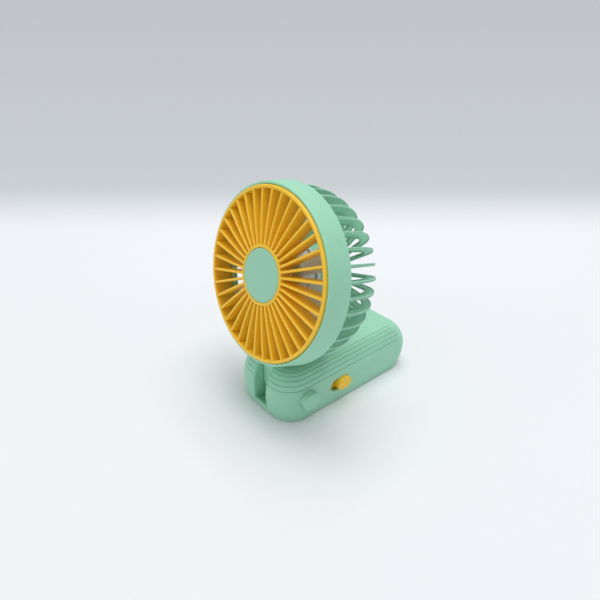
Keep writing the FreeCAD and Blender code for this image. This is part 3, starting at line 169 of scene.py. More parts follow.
# ============================================================================ base screws
# Four self-tapping steel screws with sunk pan heads, zinc-plated, driven up into the shell's columns.
# Each head has a cross recess and a bright, slightly brushed face.
def plated_steel(name, base, roughness, brush_size):
    """Plated steel: a grey metal whose fine drawing lines break up its gloss."""
    material, tree, shader, place = new_material(name, {"Base Color": colour(base), "Metallic": 1.0})
    stretch = add_node(tree, "ShaderNodeMapping", sockets={"Vector": place, "Scale": (1.0, 1.0, 6.0)})
    lines = add_node(tree, "ShaderNodeTexNoise", sockets={
        "Vector": stretch.outputs["Vector"], "Scale": 1 / brush_size, "Detail": 3.0,
    })
    gloss = add_node(tree, "ShaderNodeMapRange", sockets={
        "Value": lines.outputs["Fac"], "From Min": 0.3, "From Max": 0.7,
        "To Min": roughness - 0.08, "To Max": roughness + 0.12,
    })
    tree.links.new(gloss.outputs["Result"], shader.inputs["Roughness"])
    bump = add_node(tree, "ShaderNodeBump", sockets={
        "Strength": 0.12, "Distance": mm(0.02), "Height": lines.outputs["Fac"],
    })
    tree.links.new(bump.outputs["Normal"], shader.inputs["Normal"])
    return material


zinc_steel = plated_steel("zinc-plated steel", "B9BBBE", 0.32, mm(0.5))
dress("base_screws", zinc_steel)


# ============================================================================ circuit board
# Glass-epoxy board under green solder mask, held on four posts of the base by four screws.
# Copper tracks show through the mask as paler lines.
def solder_mask():
    """Green solder mask over copper: tracks 0.3 mm wide show paler, 2 mm apart, under a gloss coat."""
    material, tree, shader, place = new_material("green solder mask", {
        "Roughness": 0.3, "IOR": 1.5, "Coat Weight": 0.4,
    })
    tracks = add_node(tree, "ShaderNodeTexBrick", sockets={
        "Vector": place, "Scale": 1 / mm(8), "Mortar Size": 0.035,
        "Color1": colour("1C5C3C"), "Color2": colour("1A5638"), "Mortar": colour("2C7A50"),
    })
    tree.links.new(tracks.outputs["Color"], shader.inputs["Base Color"])
    return material


dress("circuit_board", solder_mask())
dress("board_screws", zinc_steel)
dress("usb_socket", plated_steel("nickel-plated socket shell", "C9CACC", 0.24, mm(0.8)))


# ============================================================================ charge lamp
# A small light-emitting diode in clear epoxy over a white body, soldered beside the charging socket.
# It is off, so it looks milky behind its window.
def lamp_epoxy():
    """Cast clear epoxy: glossy, with a faint 0.5 mm ripple from its mould."""
    material, tree, shader, place = new_material("clear epoxy lamp", {
        "Base Color": colour("F0EFE6"), "IOR": 1.54, "Transmission Weight": 0.3,
    })
    ripple = add_node(tree, "ShaderNodeTexNoise", sockets={"Vector": place, "Scale": 1 / mm(0.5)})
    gloss = add_node(tree, "ShaderNodeMapRange", sockets={
        "Value": ripple.outputs["Fac"], "To Min": 0.1, "To Max": 0.2,
    })
    tree.links.new(gloss.outputs["Result"], shader.inputs["Roughness"])
    return material


dress("charge_led", lamp_epoxy())


# ============================================================================ battery
# Flat lithium pouch in laminated aluminium foil, held under the crown by a strip of closed-cell foam tape.
# The foil is matt on its embossed face and slightly creased.
def pouch_foil():
    """Laminated aluminium foil with shallow creases about 3 mm apart."""
    material, tree, shader, place = new_material("laminated pouch foil", {
        "Base Color": colour("BFC2C6"), "Metallic": 0.85, "Roughness": 0.38,
    })
    creases = add_node(tree, "ShaderNodeTexNoise", sockets={
        "Vector": place, "Scale": 1 / mm(3), "Detail": 4.0,
    })
    bump = add_node(tree, "ShaderNodeBump", sockets={
        "Strength": 0.4, "Distance": mm(0.15), "Height": creases.outputs["Fac"],
    })
    tree.links.new(bump.outputs["Normal"], shader.inputs["Normal"])
    return material


def cell_foam():
    """Closed-cell foam tape: nearly black, fully matt, with 0.4 mm cells."""
    material, tree, shader, place = new_material("closed-cell foam tape", {
        "Base Color": colour("2A2A2B"), "Roughness": 0.95,
    })
    cells = add_node(tree, "ShaderNodeTexVoronoi", sockets={"Vector": place, "Scale": 1 / mm(0.4)})
    bump = add_node(tree, "ShaderNodeBump", sockets={
        "Strength": 0.6, "Distance": mm(0.1), "Height": cells.outputs["Distance"],
    })
    tree.links.new(bump.outputs["Normal"], shader.inputs["Normal"])
    return material


dress("battery_cell", pouch_foil())
dress("battery_tape", cell_foam())


# ============================================================================ slide switch and knob
# A black nylon slide switch soldered to the board's tab. Its stem plugs into the yellow ABS knob, which
# slides behind the shell's slot; the knob's head is a rounded bar that a thumb pushes.
def black_nylon():
    """Unpolished black nylon with a faint 0.6 mm mottle in its gloss."""
    material, tree, shader, place = new_material("black moulded nylon", {
        "Base Color": colour("1B1B1C"), "IOR": 1.53,
    })
    mottle = add_node(tree, "ShaderNodeTexNoise", sockets={"Vector": place, "Scale": 1 / mm(0.6)})
    gloss = add_node(tree, "ShaderNodeMapRange", sockets={
        "Value": mottle.outputs["Fac"], "To Min": 0.42, "To Max": 0.6,
    })
    tree.links.new(gloss.outputs["Result"], shader.inputs["Roughness"])
    return material


nylon = black_nylon()
yellow_abs = moulded_abs("warm yellow moulded ABS", "FFD034", "FFC828", 0.38, 0.15, (1.6, 0.8, 0.2))
dress("slide_switch", nylon)
dress("switch_stem", nylon)
dress("switch_knob", yellow_abs)


# ============================================================================ handle shell
# Hollow pebble-shaped moulding in mint ABS: two cheeks hold the hinge pin, five fine grip lines run round
# it, and the board, the cell and the switch sit behind the cheeks.
dress("body_shell", mint_abs)


# ============================================================================ hinge
# A headed steel pin crosses both cheeks and a white acetal bush in the neck. A flush mint plug hides its
# head on one side; on the other the round release button slides over it, pushed out by a steel spring.
def acetal():
    """Natural white acetal: waxy, faintly translucent."""
    material, tree, shader, place = new_material("white acetal", {
        "Base Color": colour("E9E8E2"), "IOR": 1.48, "Subsurface Weight": 0.25,
        "Subsurface Radius": (mm(1.5), mm(1.5), mm(1.3)), "Subsurface Scale": 1.0,
    })
    wax = add_node(tree, "ShaderNodeTexNoise", sockets={"Vector": place, "Scale": 1 / mm(4)})
    gloss = add_node(tree, "ShaderNodeMapRange", sockets={
        "Value": wax.outputs["Fac"], "To Min": 0.3, "To Max": 0.45,
    })
    tree.links.new(gloss.outputs["Result"], shader.inputs["Roughness"])
    return material


white_acetal = acetal()
dress("hinge_pin", zinc_steel)
dress("hinge_bush", white_acetal)
dress("pin_cap", mint_abs)
dress("button_spring", zinc_steel)
dress("release_button", mint_abs)


# ============================================================================ motor
# Small brushed motor: deep-drawn steel can, black end, two sintered bronze bushes, two ferrite magnets and
# a slotted rotor on a ground steel shaft. A white plate and three screws keep it in the housing's cup.
def sintered(name, base, metallic, roughness, grit):
    """A pressed and sintered powder: matt, speckled at the size of its grit."""
    material, tree, shader, place = new_material(name, {"Metallic": metallic, "Roughness": roughness})
    speck = add_node(tree, "ShaderNodeTexNoise", sockets={
        "Vector": place, "Scale": 1 / grit, "Detail": 4.0,
    })
    pores = [channel * 0.72 for channel in colour(base)[:3]] + [1.0]
    tone = add_node(tree, "ShaderNodeMix", {"data_type": "RGBA"}, {
        "Factor": speck.outputs["Fac"], 6: colour(base), 7: pores,
    })
    tree.links.new(tone.outputs[2], shader.inputs["Base Color"])
    return material


def laminated_core():
    """Stacked steel sheets seen edge on, with coppery enamelled wire between the poles.

    The real sheets are 0.5 mm thick. They are drawn as bands 3 mm apart, which show at this size.
    """
    material, tree, shader, place = new_material("stacked rotor sheets", {
        "Metallic": 0.8, "Roughness": 0.42,
    })
    sheets = add_node(tree, "ShaderNodeTexWave", {"bands_direction": "Y"}, {
        "Vector": place, "Scale": 1 / mm(10), "Distortion": 0.2,
    })
    tone = add_node(tree, "ShaderNodeMix", {"data_type": "RGBA"}, {
        "Factor": sheets.outputs["Fac"], 6: colour("8B7C70"), 7: colour("A8643C"),
    })
    tree.links.new(tone.outputs[2], shader.inputs["Base Color"])
    return material


dress("motor_can", plated_steel("deep-drawn nickel-plated can", "B4B6B8", 0.3, mm(1.0)))
dress("motor_end_cap", nylon)
dress("motor_bushes", sintered("sintered bronze", "B98B52", 1.0, 0.45, mm(0.3)))
dress("motor_magnets", sintered("ferrite magnet", "3A3A3C", 0.0, 0.7, mm(0.4)))
dress("rotor_core", laminated_core())
dress("motor_shaft", plated_steel("ground steel shaft", "C8C9CB", 0.2, mm(0.3)))
dress("motor_retainer", white_acetal)
dress("retainer_screws", zinc_steel)


# ============================================================================ head housing
# One mint ABS moulding: a flared ring round the grille, thirty-six rounded ribs that sweep back over the
# shoulder to the motor's cup, a broad spine below, and the neck whose round foot turns on the hinge pin.
# The head is drawn in its impeller's own axes: local +Z comes out of the grille, local +Y points up.
def joint_named(name):
    """One of the frame's joints."""
    return next(joint for joint in frame["joints"] if joint["name"] == name)


spin = joint_named("impeller_spin")
head_centre = Vector(spin["pos_m"])
head_lean = math.pi / 2 - math.asin(spin["axis"][2])
head_pose = Matrix.Translation(head_centre) @ Matrix.Rotation(head_lean, 4, "X")
hinge_point = Vector(joint_named("head_fold")["pos_m"])

# The ring's radius in front and behind, and the seat and shelf inside it that take the grille.
ring_front_radius = 42.4
ring_back_radius = 43.8
ring_depth = 11.7
seat_radius = 41.1
shelf_depth = 9.5

# The cage: how far back it runs straight, how deep it is, and how broad its shoulder is.
cage_radius = 42.2
cage_straight = 18.6
cage_depth = 38.4
cage_shoulder = 12.1
rib_count = 36
rib_first_angle = math.radians(5)
rib_thickness = 1.3
rib_depth = 4.8
rib_edge = 0.45
rib_in_ring = 0.9
rib_in_cup = 0.6
spine_edge = 0.9

# The motor's cup: heights are measured from the ring's front.
cup_radius = 13.5
cup_front = -22.8
cup_floor = 1.5
motor_bore = 10.05

# The neck is as wide as its bush is long, and its round foot, the knuckle, is the housing's lowest point.
bush_low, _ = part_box("hinge_bush")
housing_low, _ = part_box("head_housing")
neck_half = -bush_low[0] * 1000
neck_edge = 0.8
neck_top = 23
knuckle_radius = (hinge_point.z - housing_low[2]) * 1000
bush_bore = 3.05
bush_bore_end = 0.45
lock_bore = 3.45
lock_bore_start = 0.35
past_neck = 6
behind_head = -80
before_head = 20


def rounded(corners, steps=5):
    """A closed section whose corners are arcs: each corner is (distance from axis, height, radius) in mm."""
    path = []
    for number, (x, y, radius) in enumerate(corners):
        here = Vector((x, y))
        if radius == 0:
            path.append(here)
            continue
        before = (Vector(corners[number - 1][:2]) - here).normalized()
        after = (Vector(corners[(number + 1) % len(corners)][:2]) - here).normalized()
        half = before.angle(after) / 2
        reach = radius / math.tan(half)
        middle = here + (before + after).normalized() * radius / math.sin(half)
        start = here + before * reach - middle
        turn = -start.angle_signed(here + after * reach - middle)
        for step in range(steps + 1):
            spoke = start.copy()
            spoke.rotate(Matrix.Rotation(turn * step / steps, 2))
            path.append(middle + spoke)
    return path


def revolve(mesh, section, spokes):
    """Turn a closed section about the head's axis into the mesh; points on the axis become poles."""
    rows = []
    for spoke in range(spokes):
        angle = 2 * math.pi * spoke / spokes
        rows.append([
            mesh.verts.new((mm(x) * math.cos(angle), mm(x) * math.sin(angle), mm(y))) for x, y in section
        ])
    for row, following in zip(rows, rows[1:] + rows[:1]):
        for place in range(len(section)):
            after = (place + 1) % len(section)
            if section[place][0] > 0 or section[after][0] > 0:
                mesh.faces.new((row[place], following[place], following[after], row[after]))


def loft(mesh, sections):
    """Skin closed sections of equal length in order, with a face over each end."""
    rows = [[mesh.verts.new(point) for point in section] for section in sections]
    for row, following in zip(rows, rows[1:]):
        for place in range(len(row)):
            after = (place + 1) % len(row)
            mesh.faces.new((row[place], row[after], following[after], following[place]))
    mesh.faces.new(rows[0])
    mesh.faces.new(rows[-1])


def new_piece(name, mesh, material):
    """Make an object at the origin of a mesh, smooth apart from its sharp edges."""
    data = bpy.data.meshes.new(name)
    mesh.to_mesh(data)
    mesh.free()
    data.materials.append(material)
    data.set_sharp_from_angle(angle=math.radians(35))
    piece = bpy.data.objects.new(name, data)
    bpy.context.scene.collection.objects.link(piece)
    return piece


def finish_mesh(name, mesh, material, pose=None):
    """Close and orient a mesh, put it in its place, and make it an object."""
    bmesh.ops.remove_doubles(mesh, verts=mesh.verts, dist=mm(0.001))
    bmesh.ops.dissolve_degenerate(mesh, edges=mesh.edges, dist=mm(0.0005))
    bmesh.ops.recalc_face_normals(mesh, faces=mesh.faces)
    if pose is not None:
        mesh.transform(pose)
    return new_piece(name, mesh, material)


def join(name, parts, material):
    """Make one object of several meshes."""
    mesh = bmesh.new()
    for part in parts:
        mesh.from_mesh(part.data)
    piece = new_piece(name, mesh, material)
    for part in parts:
        bpy.data.objects.remove(part)
    return piece


def turned(name, corners, material, spokes):
    """A ring or disc of the head, turned from its rounded section."""
    mesh = bmesh.new()
    revolve(mesh, rounded(corners), spokes)
    return finish_mesh(name, mesh, material, head_pose)


def copies_round_axis(name):
    """Geometry Nodes tree: turn copies of the mesh about its own Z, then lean and place the whole ring."""
    tree = bpy.data.node_groups.new(name, "GeometryNodeTree")
    sockets = (
        ("Geometry", "NodeSocketGeometry"), ("Copies", "NodeSocketInt"), ("First angle", "NodeSocketFloat"),
        ("Lean", "NodeSocketVector"), ("Centre", "NodeSocketVector"), ("Material", "NodeSocketMaterial"),
    )
    for socket, kind in sockets:
        tree.interface.new_socket(socket, in_out="INPUT", socket_type=kind)
    tree.interface.new_socket("Geometry", in_out="OUTPUT", socket_type="NodeSocketGeometry")
    entry = add_node(tree, "NodeGroupInput").outputs
    points = add_node(tree, "GeometryNodePoints", sockets={"Count": entry["Copies"]})
    step = add_node(tree, "ShaderNodeMath", {"operation": "DIVIDE"}, {0: 2 * math.pi, 1: entry["Copies"]})
    number = add_node(tree, "GeometryNodeInputIndex").outputs["Index"]
    turn = add_node(tree, "ShaderNodeMath", {"operation": "MULTIPLY_ADD"}, {
        0: number, 1: step.outputs[0], 2: entry["First angle"],
    })
    spun = add_node(tree, "ShaderNodeCombineXYZ", sockets={"Z": turn.outputs[0]})
    copies = add_node(tree, "GeometryNodeInstanceOnPoints", sockets={
        "Points": points.outputs[0], "Instance": entry["Geometry"], "Rotation": spun.outputs["Vector"],
    })
    real = add_node(tree, "GeometryNodeRealizeInstances", sockets={"Geometry": copies.outputs["Instances"]})
    placed = add_node(tree, "GeometryNodeTransform", sockets={
        "Geometry": real.outputs["Geometry"], "Translation": entry["Centre"], "Rotation": entry["Lean"],
    })
    dressed = add_node(tree, "GeometryNodeSetMaterial", sockets={
        "Geometry": placed.outputs["Geometry"], "Material": entry["Material"],
    })
    add_node(tree, "NodeGroupOutput", sockets={"Geometry": dressed.outputs["Geometry"]})
    return tree


ring_tree = copies_round_axis("copies_round_the_head_axis")


def plain_result(piece):
    """Replace a piece's mesh by what its modifiers make of it, and remove them."""
    graph = bpy.context.evaluated_depsgraph_get()
    result = bpy.data.meshes.new_from_object(piece.evaluated_get(graph))
    piece.modifiers.clear()
    piece.data = result


def repeat_round_axis(piece, copies, first_angle, material):
    """Run the ring tree on a piece drawn in the head's own axes, and keep its plain mesh."""
    modifier = piece.modifiers.new("ring", "NODES")
    modifier.node_group = ring_tree
    values = {
        "Copies": copies, "First angle": first_angle, "Lean": (head_lean, 0.0, 0.0),
        "Centre": tuple(head_centre), "Material": material,
    }
    for item in ring_tree.interface.items_tree:
        if item.in_out == "INPUT" and item.name in values:
            modifier[item.identifier] = values[item.name]
    plain_result(piece)
    return piece


def cut(piece, tool):
    """Take a tool's solid out of a piece, and drop the tool."""
    modifier = piece.modifiers.new("cut", "BOOLEAN")
    modifier.object = tool
    modifier.solver = "EXACT"
    plain_result(piece)
    bpy.data.objects.remove(tool)


def rod(radius, low, high, pose, spokes=96):
    """A solid rod along a pose's Z, as a cutting tool."""
    mesh = bmesh.new()
    revolve(mesh, [(0, low), (radius, low), (radius, high), (0, high)], spokes)
    return finish_mesh("rod", mesh, mint_abs, pose)


def rib(mesh, thickness, edge):
    """One rib in the plane local Y = 0: straight back from the ring, round the shoulder, in to the cup."""
    turn_radius = cage_radius - cage_shoulder
    turn_back = cage_depth - cage_straight
    start = -ring_depth + rib_in_ring
    stop = cup_radius - rib_in_cup
    spans = [((cage_radius, start), (cage_radius - rib_depth, start))]
    shoulder_steps = 18
    for step in range(shoulder_steps + 1):
        angle = math.pi / 2 * step / shoulder_steps
        spans.append(tuple(
            (
                turn_radius + (cage_shoulder - depth) * math.cos(angle),
                -cage_straight - (turn_back - depth) * math.sin(angle),
            )
            for depth in (0, rib_depth)
        ))
    spans.append(((stop, -cage_depth), (stop, -cage_depth + rib_depth)))
    quarter = [
        (edge * (1 - math.sin(angle)), edge * (1 - math.cos(angle)))
        for angle in (math.radians(30 * step) for step in range(4))
    ]
    sections = []
    for outer, inner in spans:
        outer = Vector(outer)
        inner = Vector(inner)
        inward = (inner - outer).normalized()
        section = []
        for side, end, way, corners in (
            (1, outer, inward, quarter[::-1]),
            (1, inner, -inward, quarter),
            (-1, inner, -inward, quarter[::-1]),
            (-1, outer, inward, quarter),
        ):
            for off_side, off_end in corners:
                place = end + way * off_end
                section.append((mm(place.x), side * mm(thickness / 2 - off_side), mm(place.y)))
        sections.append(section)
    loft(mesh, sections)


rib_mesh = bmesh.new()
rib(rib_mesh, rib_thickness, rib_edge)
ribs = repeat_round_axis(
    finish_mesh("rear_ribs", rib_mesh, mint_abs), rib_count, rib_first_angle, mint_abs
)

spine_mesh = bmesh.new()
rib(spine_mesh, neck_half * 2, spine_edge)
spine_mesh.transform(Matrix.Rotation(math.radians(-90), 4, "Z"))
spine = finish_mesh("spine", spine_mesh, mint_abs, head_pose)

ring = turned("ring", [
    (cage_radius - rib_depth, -shelf_depth, 0.3),
    (seat_radius, -shelf_depth, 0),
    (seat_radius, 0, 0.35),
    (ring_front_radius, 0, 0.6),
    (ring_back_radius, -ring_depth, 0.7),
    (cage_radius - rib_depth, -ring_depth, 0.3),
], mint_abs, spokes=240)

# The wall is rounded by itself, so the cup's back runs to it as a very flat cone from the axis.
cup_wall = rounded([
    (cup_radius, -cage_depth, 1.0),
    (cup_radius, cup_front, 0.3),
    (motor_bore, cup_front, 0.2),
    (motor_bore, -cage_depth + cup_floor, 0),
])
cup_mesh = bmesh.new()
revolve(cup_mesh, [(0, -cage_depth)] + cup_wall + [(0, -cage_depth + cup_floor)], spokes=96)
cup = finish_mesh("cup", cup_mesh, mint_abs, head_pose)

neck_mesh = bmesh.new()
neck_sections = []
round_over = [math.radians(22.5 * step) for step in range(5)]
for side, angles in ((-1, round_over[::-1]), (1, round_over)):
    for angle in angles:
        x = side * (neck_half - neck_edge * (1 - math.sin(angle)))
        radius = knuckle_radius - neck_edge * (1 - math.cos(angle))
        outline = [(x, radius, neck_top)]
        for degrees in range(0, -181, -6):
            spoke = math.radians(degrees)
            outline.append((x, radius * math.cos(spoke), radius * math.sin(spoke)))
        outline.append((x, -radius, neck_top))
        neck_sections.append([Vector([mm(value) for value in point]) + hinge_point for point in outline])
loft(neck_mesh, neck_sections)
neck = finish_mesh("neck", neck_mesh, mint_abs)
cut(neck, rod(cage_radius - rib_depth / 2, behind_head, before_head, head_pose, spokes=240))
across = Matrix.Translation(hinge_point) @ Matrix.Rotation(math.pi / 2, 4, "Y")
cut(neck, rod(bush_bore, -past_neck, bush_bore_end, across))
cut(neck, rod(lock_bore, lock_bore_start, past_neck, across))

housing = join("head_housing_moulding", [ring, ribs, spine, cup, neck], mint_abs)
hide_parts("head_housing")
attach(housing, "head")


# ============================================================================ impeller
# Seven-bladed impeller in milky grey polypropylene, pressed on the motor's shaft. Thin blades flatten
# towards their rounded tips and let a little light through.
def milky_polypropylene():
    """Unpigmented polypropylene with a little grey: soft gloss, light carries through the thin blades."""
    material, tree, shader, place = new_material("milky grey polypropylene", {
        "Base Color": colour("DDE3E0"), "IOR": 1.49, "Subsurface Weight": 0.5,
        "Subsurface Radius": (mm(2.0), mm(2.0), mm(2.0)), "Subsurface Scale": 1.0,
    })
    cloud = add_node(tree, "ShaderNodeTexNoise", sockets={
        "Vector": place, "Scale": 1 / mm(6), "Detail": 3.0,
    })
    gloss = add_node(tree, "ShaderNodeMapRange", sockets={
        "Value": cloud.outputs["Fac"], "To Min": 0.3, "To Max": 0.42,
    })
    tree.links.new(gloss.outputs["Result"], shader.inputs["Roughness"])
    return material


milky = milky_polypropylene()
blade_count = 7
blade_plane = -15.9
blade_root = 12.6
blade_tip = 35.8
tip_corner = 4.0

# Chord and pitch change evenly from the root to where they would be full, a little past the tip.
blade_full = 37.8
root_chord = 12
full_chord = 22
root_pitch = 36
full_pitch = 24

# The camber is a share of half the chord. Half the thickness grows from the edges to the middle.
blade_camber = 0.14
blade_edge = 0.12
blade_middle = 0.43
hub_radius = 13.3
hub_wall = 1.2
hub_front = -11.2
hub_inside = -12.4
hub_back = -19.6
boss_radius = 2.4
boss_back = -19.0
shaft_hole = 0.75


def blade(mesh):
    """One blade as sections from hub to tip, each on a cylinder about the axis."""
    straight = blade_tip - tip_corner
    stops = [blade_root + (straight - blade_root) * step / 12 for step in range(13)]
    stops += [blade_tip - tip_corner * (1 - math.sin(math.radians(angle))) for angle in range(12, 85, 12)]
    chord = [math.cos(math.radians(angle)) for angle in range(0, 181, 15)]
    sections = []
    for radius in stops:
        share = (radius - blade_root) / (blade_full - blade_root)
        over = max(radius - straight, 0) / tip_corner
        half = (root_chord * (1 - share) + full_chord * share) / 2
        half -= tip_corner * (1 - math.sqrt(1 - over * over))
        pitch = math.radians(root_pitch * (1 - share) + full_pitch * share)
        section = []
        for side, shares in ((1, chord), (-1, chord[-2:0:-1])):
            for along_chord in shares:
                arch = 1 - along_chord * along_chord
                skin = blade_edge + blade_middle * arch if abs(along_chord) < 1 else 0
                off = half * blade_camber * arch + side * skin
                along = half * along_chord
                x = along * math.cos(pitch) - off * math.sin(pitch)
                z = along * math.sin(pitch) + off * math.cos(pitch) + blade_plane
                section.append((mm(x), mm(math.sqrt(radius * radius - x * x)), mm(z)))
        sections.append(section)
    loft(mesh, sections)


blade_mesh = bmesh.new()
blade(blade_mesh)
blades = repeat_round_axis(finish_mesh("blades", blade_mesh, milky), blade_count, 0.0, milky)
hub = turned("impeller_hub", [
    (0, hub_inside, 0),
    (0, hub_front, 0),
    (hub_radius, hub_front, 1.3),
    (hub_radius, hub_back, 0.3),
    (hub_radius - hub_wall, hub_back, 0.3),
    (hub_radius - hub_wall, hub_inside, 0.5),
    (boss_radius, hub_inside, 0.3),
    (boss_radius, boss_back, 0.2),
    (shaft_hole, boss_back, 0),
    (shaft_hole, hub_inside, 0),
], milky, spokes=120)
impeller = join("impeller_moulding", [hub, blades], milky)
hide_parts("impeller")
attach(impeller, "fan")


# ============================================================================ front grille
# Domed guard in warm yellow ABS: a rounded rim and a deep skirt that snaps into the ring, and thirty-six
# straight radial fins that meet at a ring round the middle.
fin_count = 36
fin_first_angle = math.radians(6)
fin_root = 13.4
fin_tip = 40.1
fin_half = 0.6
fin_edge = 0.4
fin_back = -5.0
fin_front = 2.12
fin_highest = 2.05

# The dome falls by this much from its start to the end of its reach.
fin_drop = 0.9
dome_start = 13
dome_reach = 25
rim_inner = 39.3
rim_outer = 40.9
rim_front = 1.15
skirt_back = -9.4
bead_top = 41.2
bead_place = -6.5
bead_half = 0.4
collar_inner = 12.7
collar_outer = 14.2
collar_front = 2.2
collar_back = -5.0
web_front = 0.7
web_back = -0.6
peg_hole = 2.1


def fin(mesh):
    """One fin along local X: deep, thin, with a rounded front edge that follows the dome."""
    sections = []
    for step in range(15):
        radius = fin_root + (fin_tip - fin_root) * step / 14
        front = min(fin_front - fin_drop * ((radius - dome_start) / dome_reach) ** 2, fin_highest)
        section = [(radius, -fin_half, fin_back), (radius, fin_half, fin_back)]
        for angle in range(0, 181, 30):
            middle = (fin_half - fin_edge) * (1 if angle < 90 else -1 if angle > 90 else 0)
            section.append((
                radius,
                middle + fin_edge * math.cos(math.radians(angle)),
                front - fin_edge + fin_edge * math.sin(math.radians(angle)),
            ))
        sections.append([[mm(value) for value in point] for point in section])
    loft(mesh, sections)


fin_mesh = bmesh.new()
fin(fin_mesh)
fins = repeat_round_axis(
    finish_mesh("fins", fin_mesh, yellow_abs), fin_count, fin_first_angle, yellow_abs
)
rim = turned("rim", [
    (rim_inner, skirt_back, 0.2),
    (rim_outer, skirt_back, 0.2),
    (rim_outer, bead_place - bead_half, 0),
    (bead_top, bead_place, 0),
    (rim_outer, bead_place + bead_half, 0),
    (rim_outer, rim_front, 0.7),
    (rim_inner, rim_front, 0.4),
], yellow_abs, spokes=240)
collar = turned("collar", [
    (peg_hole, web_back, 0),
    (collar_inner, web_back, 0),
    (collar_inner, collar_back, 0.2),
    (collar_outer, collar_back, 0.2),
    (collar_outer, collar_front, 0.5),
    (collar_inner + 0.05, collar_front, 0.25),
    (collar_inner, web_front, 0),
    (peg_hole, web_front, 0),
], yellow_abs, spokes=120)
grille = join("front_grille_moulding", [rim, fins, collar], yellow_abs)
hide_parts("front_grille")
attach(grille, "head")


# ============================================================================ hub cap
# Mint ABS disc, moulded in one with the short peg that is pressed into the grille's middle.
# Its face is plain, with a fine rounded edge.
peg_radius = 2.0
peg_back = -1.8
cap_radius = 12.6
cap_back = 0.8
cap_front = 2.2
cap = turned("hub_cap_disc", [
    (0, peg_back, 0),
    (peg_radius, peg_back, 0),
    (peg_radius, cap_back, 0),
    (cap_radius, cap_back, 0.1),
    (cap_radius, cap_front, 0.45),
    (0, cap_front, 0),
], mint_abs, spokes=120)
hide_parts("hub_cap")
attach(cap, "head")


# ============================================================================ floor
# A sheet of pale matt paper under the fan, painted a little lighter towards the back. Past a line behind the
# fan
# stands its lit backdrop: it is drawn on the same plane, with a strength of its own, and its painted light
# pales towards the bottom as the light on a wall over a table does.
# Places and distances of the camera, the backdrop and the lamps are in metres.
camera_place = Vector((0.18155, -0.13903, 0.19429))
camera_azimuth = math.radians(50.08)
camera_elevation = math.radians(30.41)
looking = Vector((-math.sin(camera_azimuth), math.cos(camera_azimuth), 0))
backdrop_distance = 0.513
backdrop_blend = 0.073
paper_painted_lighter_from = 0.2
paper_painted_lighter_to = 0.05
floor_reach = 60.0


def paper_and_backdrop():
    """Pale uncoated paper, painted lighter far off; beyond it the backdrop, grey painted light darker
    upwards.
    """
    material, tree, shader, place = new_material("pale matt paper", {
        "Roughness": 0.9, "Specular IOR Level": 0.1,
    })
    offset = add_node(tree, "ShaderNodeVectorMath", {"operation": "SUBTRACT"}, {
        0: place, 1: (camera_place.x, camera_place.y, 0),
    })
    distance = add_node(tree, "ShaderNodeVectorMath", {"operation": "DOT_PRODUCT"}, {
        0: offset.outputs["Vector"], 1: looking,
    }).outputs["Value"]
    beyond = add_node(tree, "ShaderNodeMapRange", {"interpolation_type": "SMOOTHSTEP"}, {
        "Value": distance,
        "From Min": backdrop_distance - backdrop_blend, "From Max": backdrop_distance + backdrop_blend,
    })
    # The far paper is painted a little lighter: painted light standing in for lamp light that falls off with
    # distance.
    far_painted_light = add_node(tree, "ShaderNodeMapRange", sockets={
        "Value": distance,
        "From Min": backdrop_distance - paper_painted_lighter_from, "From Max": backdrop_distance - paper_painted_lighter_to,
    })
    paper = add_node(tree, "ShaderNodeMix", {"data_type": "RGBA"}, {
        "Factor": far_painted_light.outputs["Result"], 6: colour("EDF0F4"), 7: colour("EFF3F7"),
    })
    tree.links.new(paper.outputs[2], shader.inputs["Base Color"])
    # The backdrop's grey is painted light: paler near its foot and darker further off, as light on a wall
    # fades upwards.
    height = add_node(tree, "ShaderNodeMath", {"operation": "DIVIDE"}, {0: backdrop_distance, 1: distance})
    tone = add_node(tree, "ShaderNodeMix", {"data_type": "RGBA"}, {
        "Factor": height.outputs[0], 6: colour("C0C3C8"), 7: colour("CCD1D6"),
    })
    wall = add_node(tree, "ShaderNodeEmission", sockets={"Color": tone.outputs[2], "Strength": 1.0})
    mixed = add_node(tree, "ShaderNodeMixShader", sockets={
        0: beyond.outputs["Result"], 1: shader.outputs["BSDF"], 2: wall.outputs["Emission"],
    })
    output = next(node for node in tree.nodes if node.type == "OUTPUT_MATERIAL")
    tree.links.new(mixed.outputs["Shader"], output.inputs["Surface"])
    return material


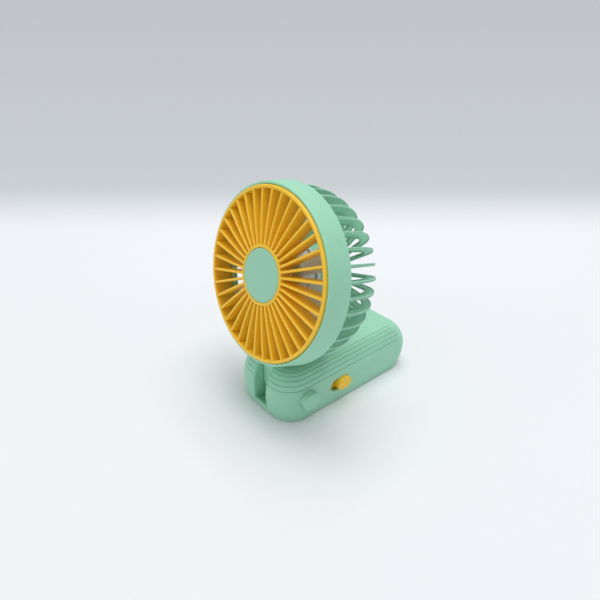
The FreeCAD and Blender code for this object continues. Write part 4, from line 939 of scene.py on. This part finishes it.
floor_data = bpy.data.meshes.new("floor")
floor_data.from_pydata([
    (-floor_reach, -floor_reach, 0),
    (floor_reach, -floor_reach, 0),
    (floor_reach, floor_reach, 0),
    (-floor_reach, floor_reach, 0),
], [], [(0, 1, 2, 3)])
floor_data.materials.append(paper_and_backdrop())
floor = bpy.data.objects.new("floor", floor_data)
bpy.context.scene.collection.objects.link(floor)


# ============================================================================ light and camera
# Even light from all round, one broad soft lamp high up and a little behind the fan, and a weak one in front
# of it that reaches in between the fins. The eye, gloss and clear plastic see a pale backdrop all round.
world = bpy.data.worlds.new("studio")
bpy.context.scene.world = world
world.use_nodes = True
studio = world.node_tree
room = studio.nodes["Background"]
room.inputs["Color"].default_value = colour("FAF8F8")
room.inputs["Strength"].default_value = 0.48
backdrop = add_node(studio, "ShaderNodeBackground", sockets={"Color": colour("C4C8CD"), "Strength": 1.0})
rays = add_node(studio, "ShaderNodeLightPath").outputs
seen = rays["Is Camera Ray"]
for ray in ("Is Glossy Ray", "Is Transmission Ray"):
    seen = add_node(studio, "ShaderNodeMath", {"operation": "MAXIMUM"}, {0: seen, 1: rays[ray]}).outputs[0]
lit = add_node(studio, "ShaderNodeMixShader", sockets={0: seen, 1: room.outputs[0], 2: backdrop.outputs[0]})
studio.links.new(lit.outputs[0], studio.nodes["World Output"].inputs["Surface"])

lamp_target = Vector((0, 0.02, 0.03))
for name, watts, place in (("softbox", 11.5, (0.0, 0.18, 1.3)), ("front_fill", 1.6, (-0.12, -1.07, 0.7))):
    lamp_data = bpy.data.lights.new(name, "AREA")
    lamp_data.shape = "RECTANGLE"
    lamp_data.size = 1.1
    lamp_data.size_y = 0.9
    lamp_data.energy = watts
    lamp = bpy.data.objects.new(name, lamp_data)
    lamp.location = place
    lamp.rotation_euler = (lamp_target - lamp.location).to_track_quat("-Z", "Y").to_euler()
    bpy.context.scene.collection.objects.link(lamp)

camera_data = bpy.data.cameras.new("camera")
camera_data.sensor_width = 36
camera_data.lens = 33.0
camera_data.clip_start = 0.01
camera = bpy.data.objects.new("camera", camera_data)
camera.location = camera_place
camera.rotation_euler = (math.pi / 2 - camera_elevation, 0, camera_azimuth)
bpy.context.scene.collection.objects.link(camera)
bpy.context.scene.camera = camera
bpy.context.scene.view_settings.view_transform = "Standard"
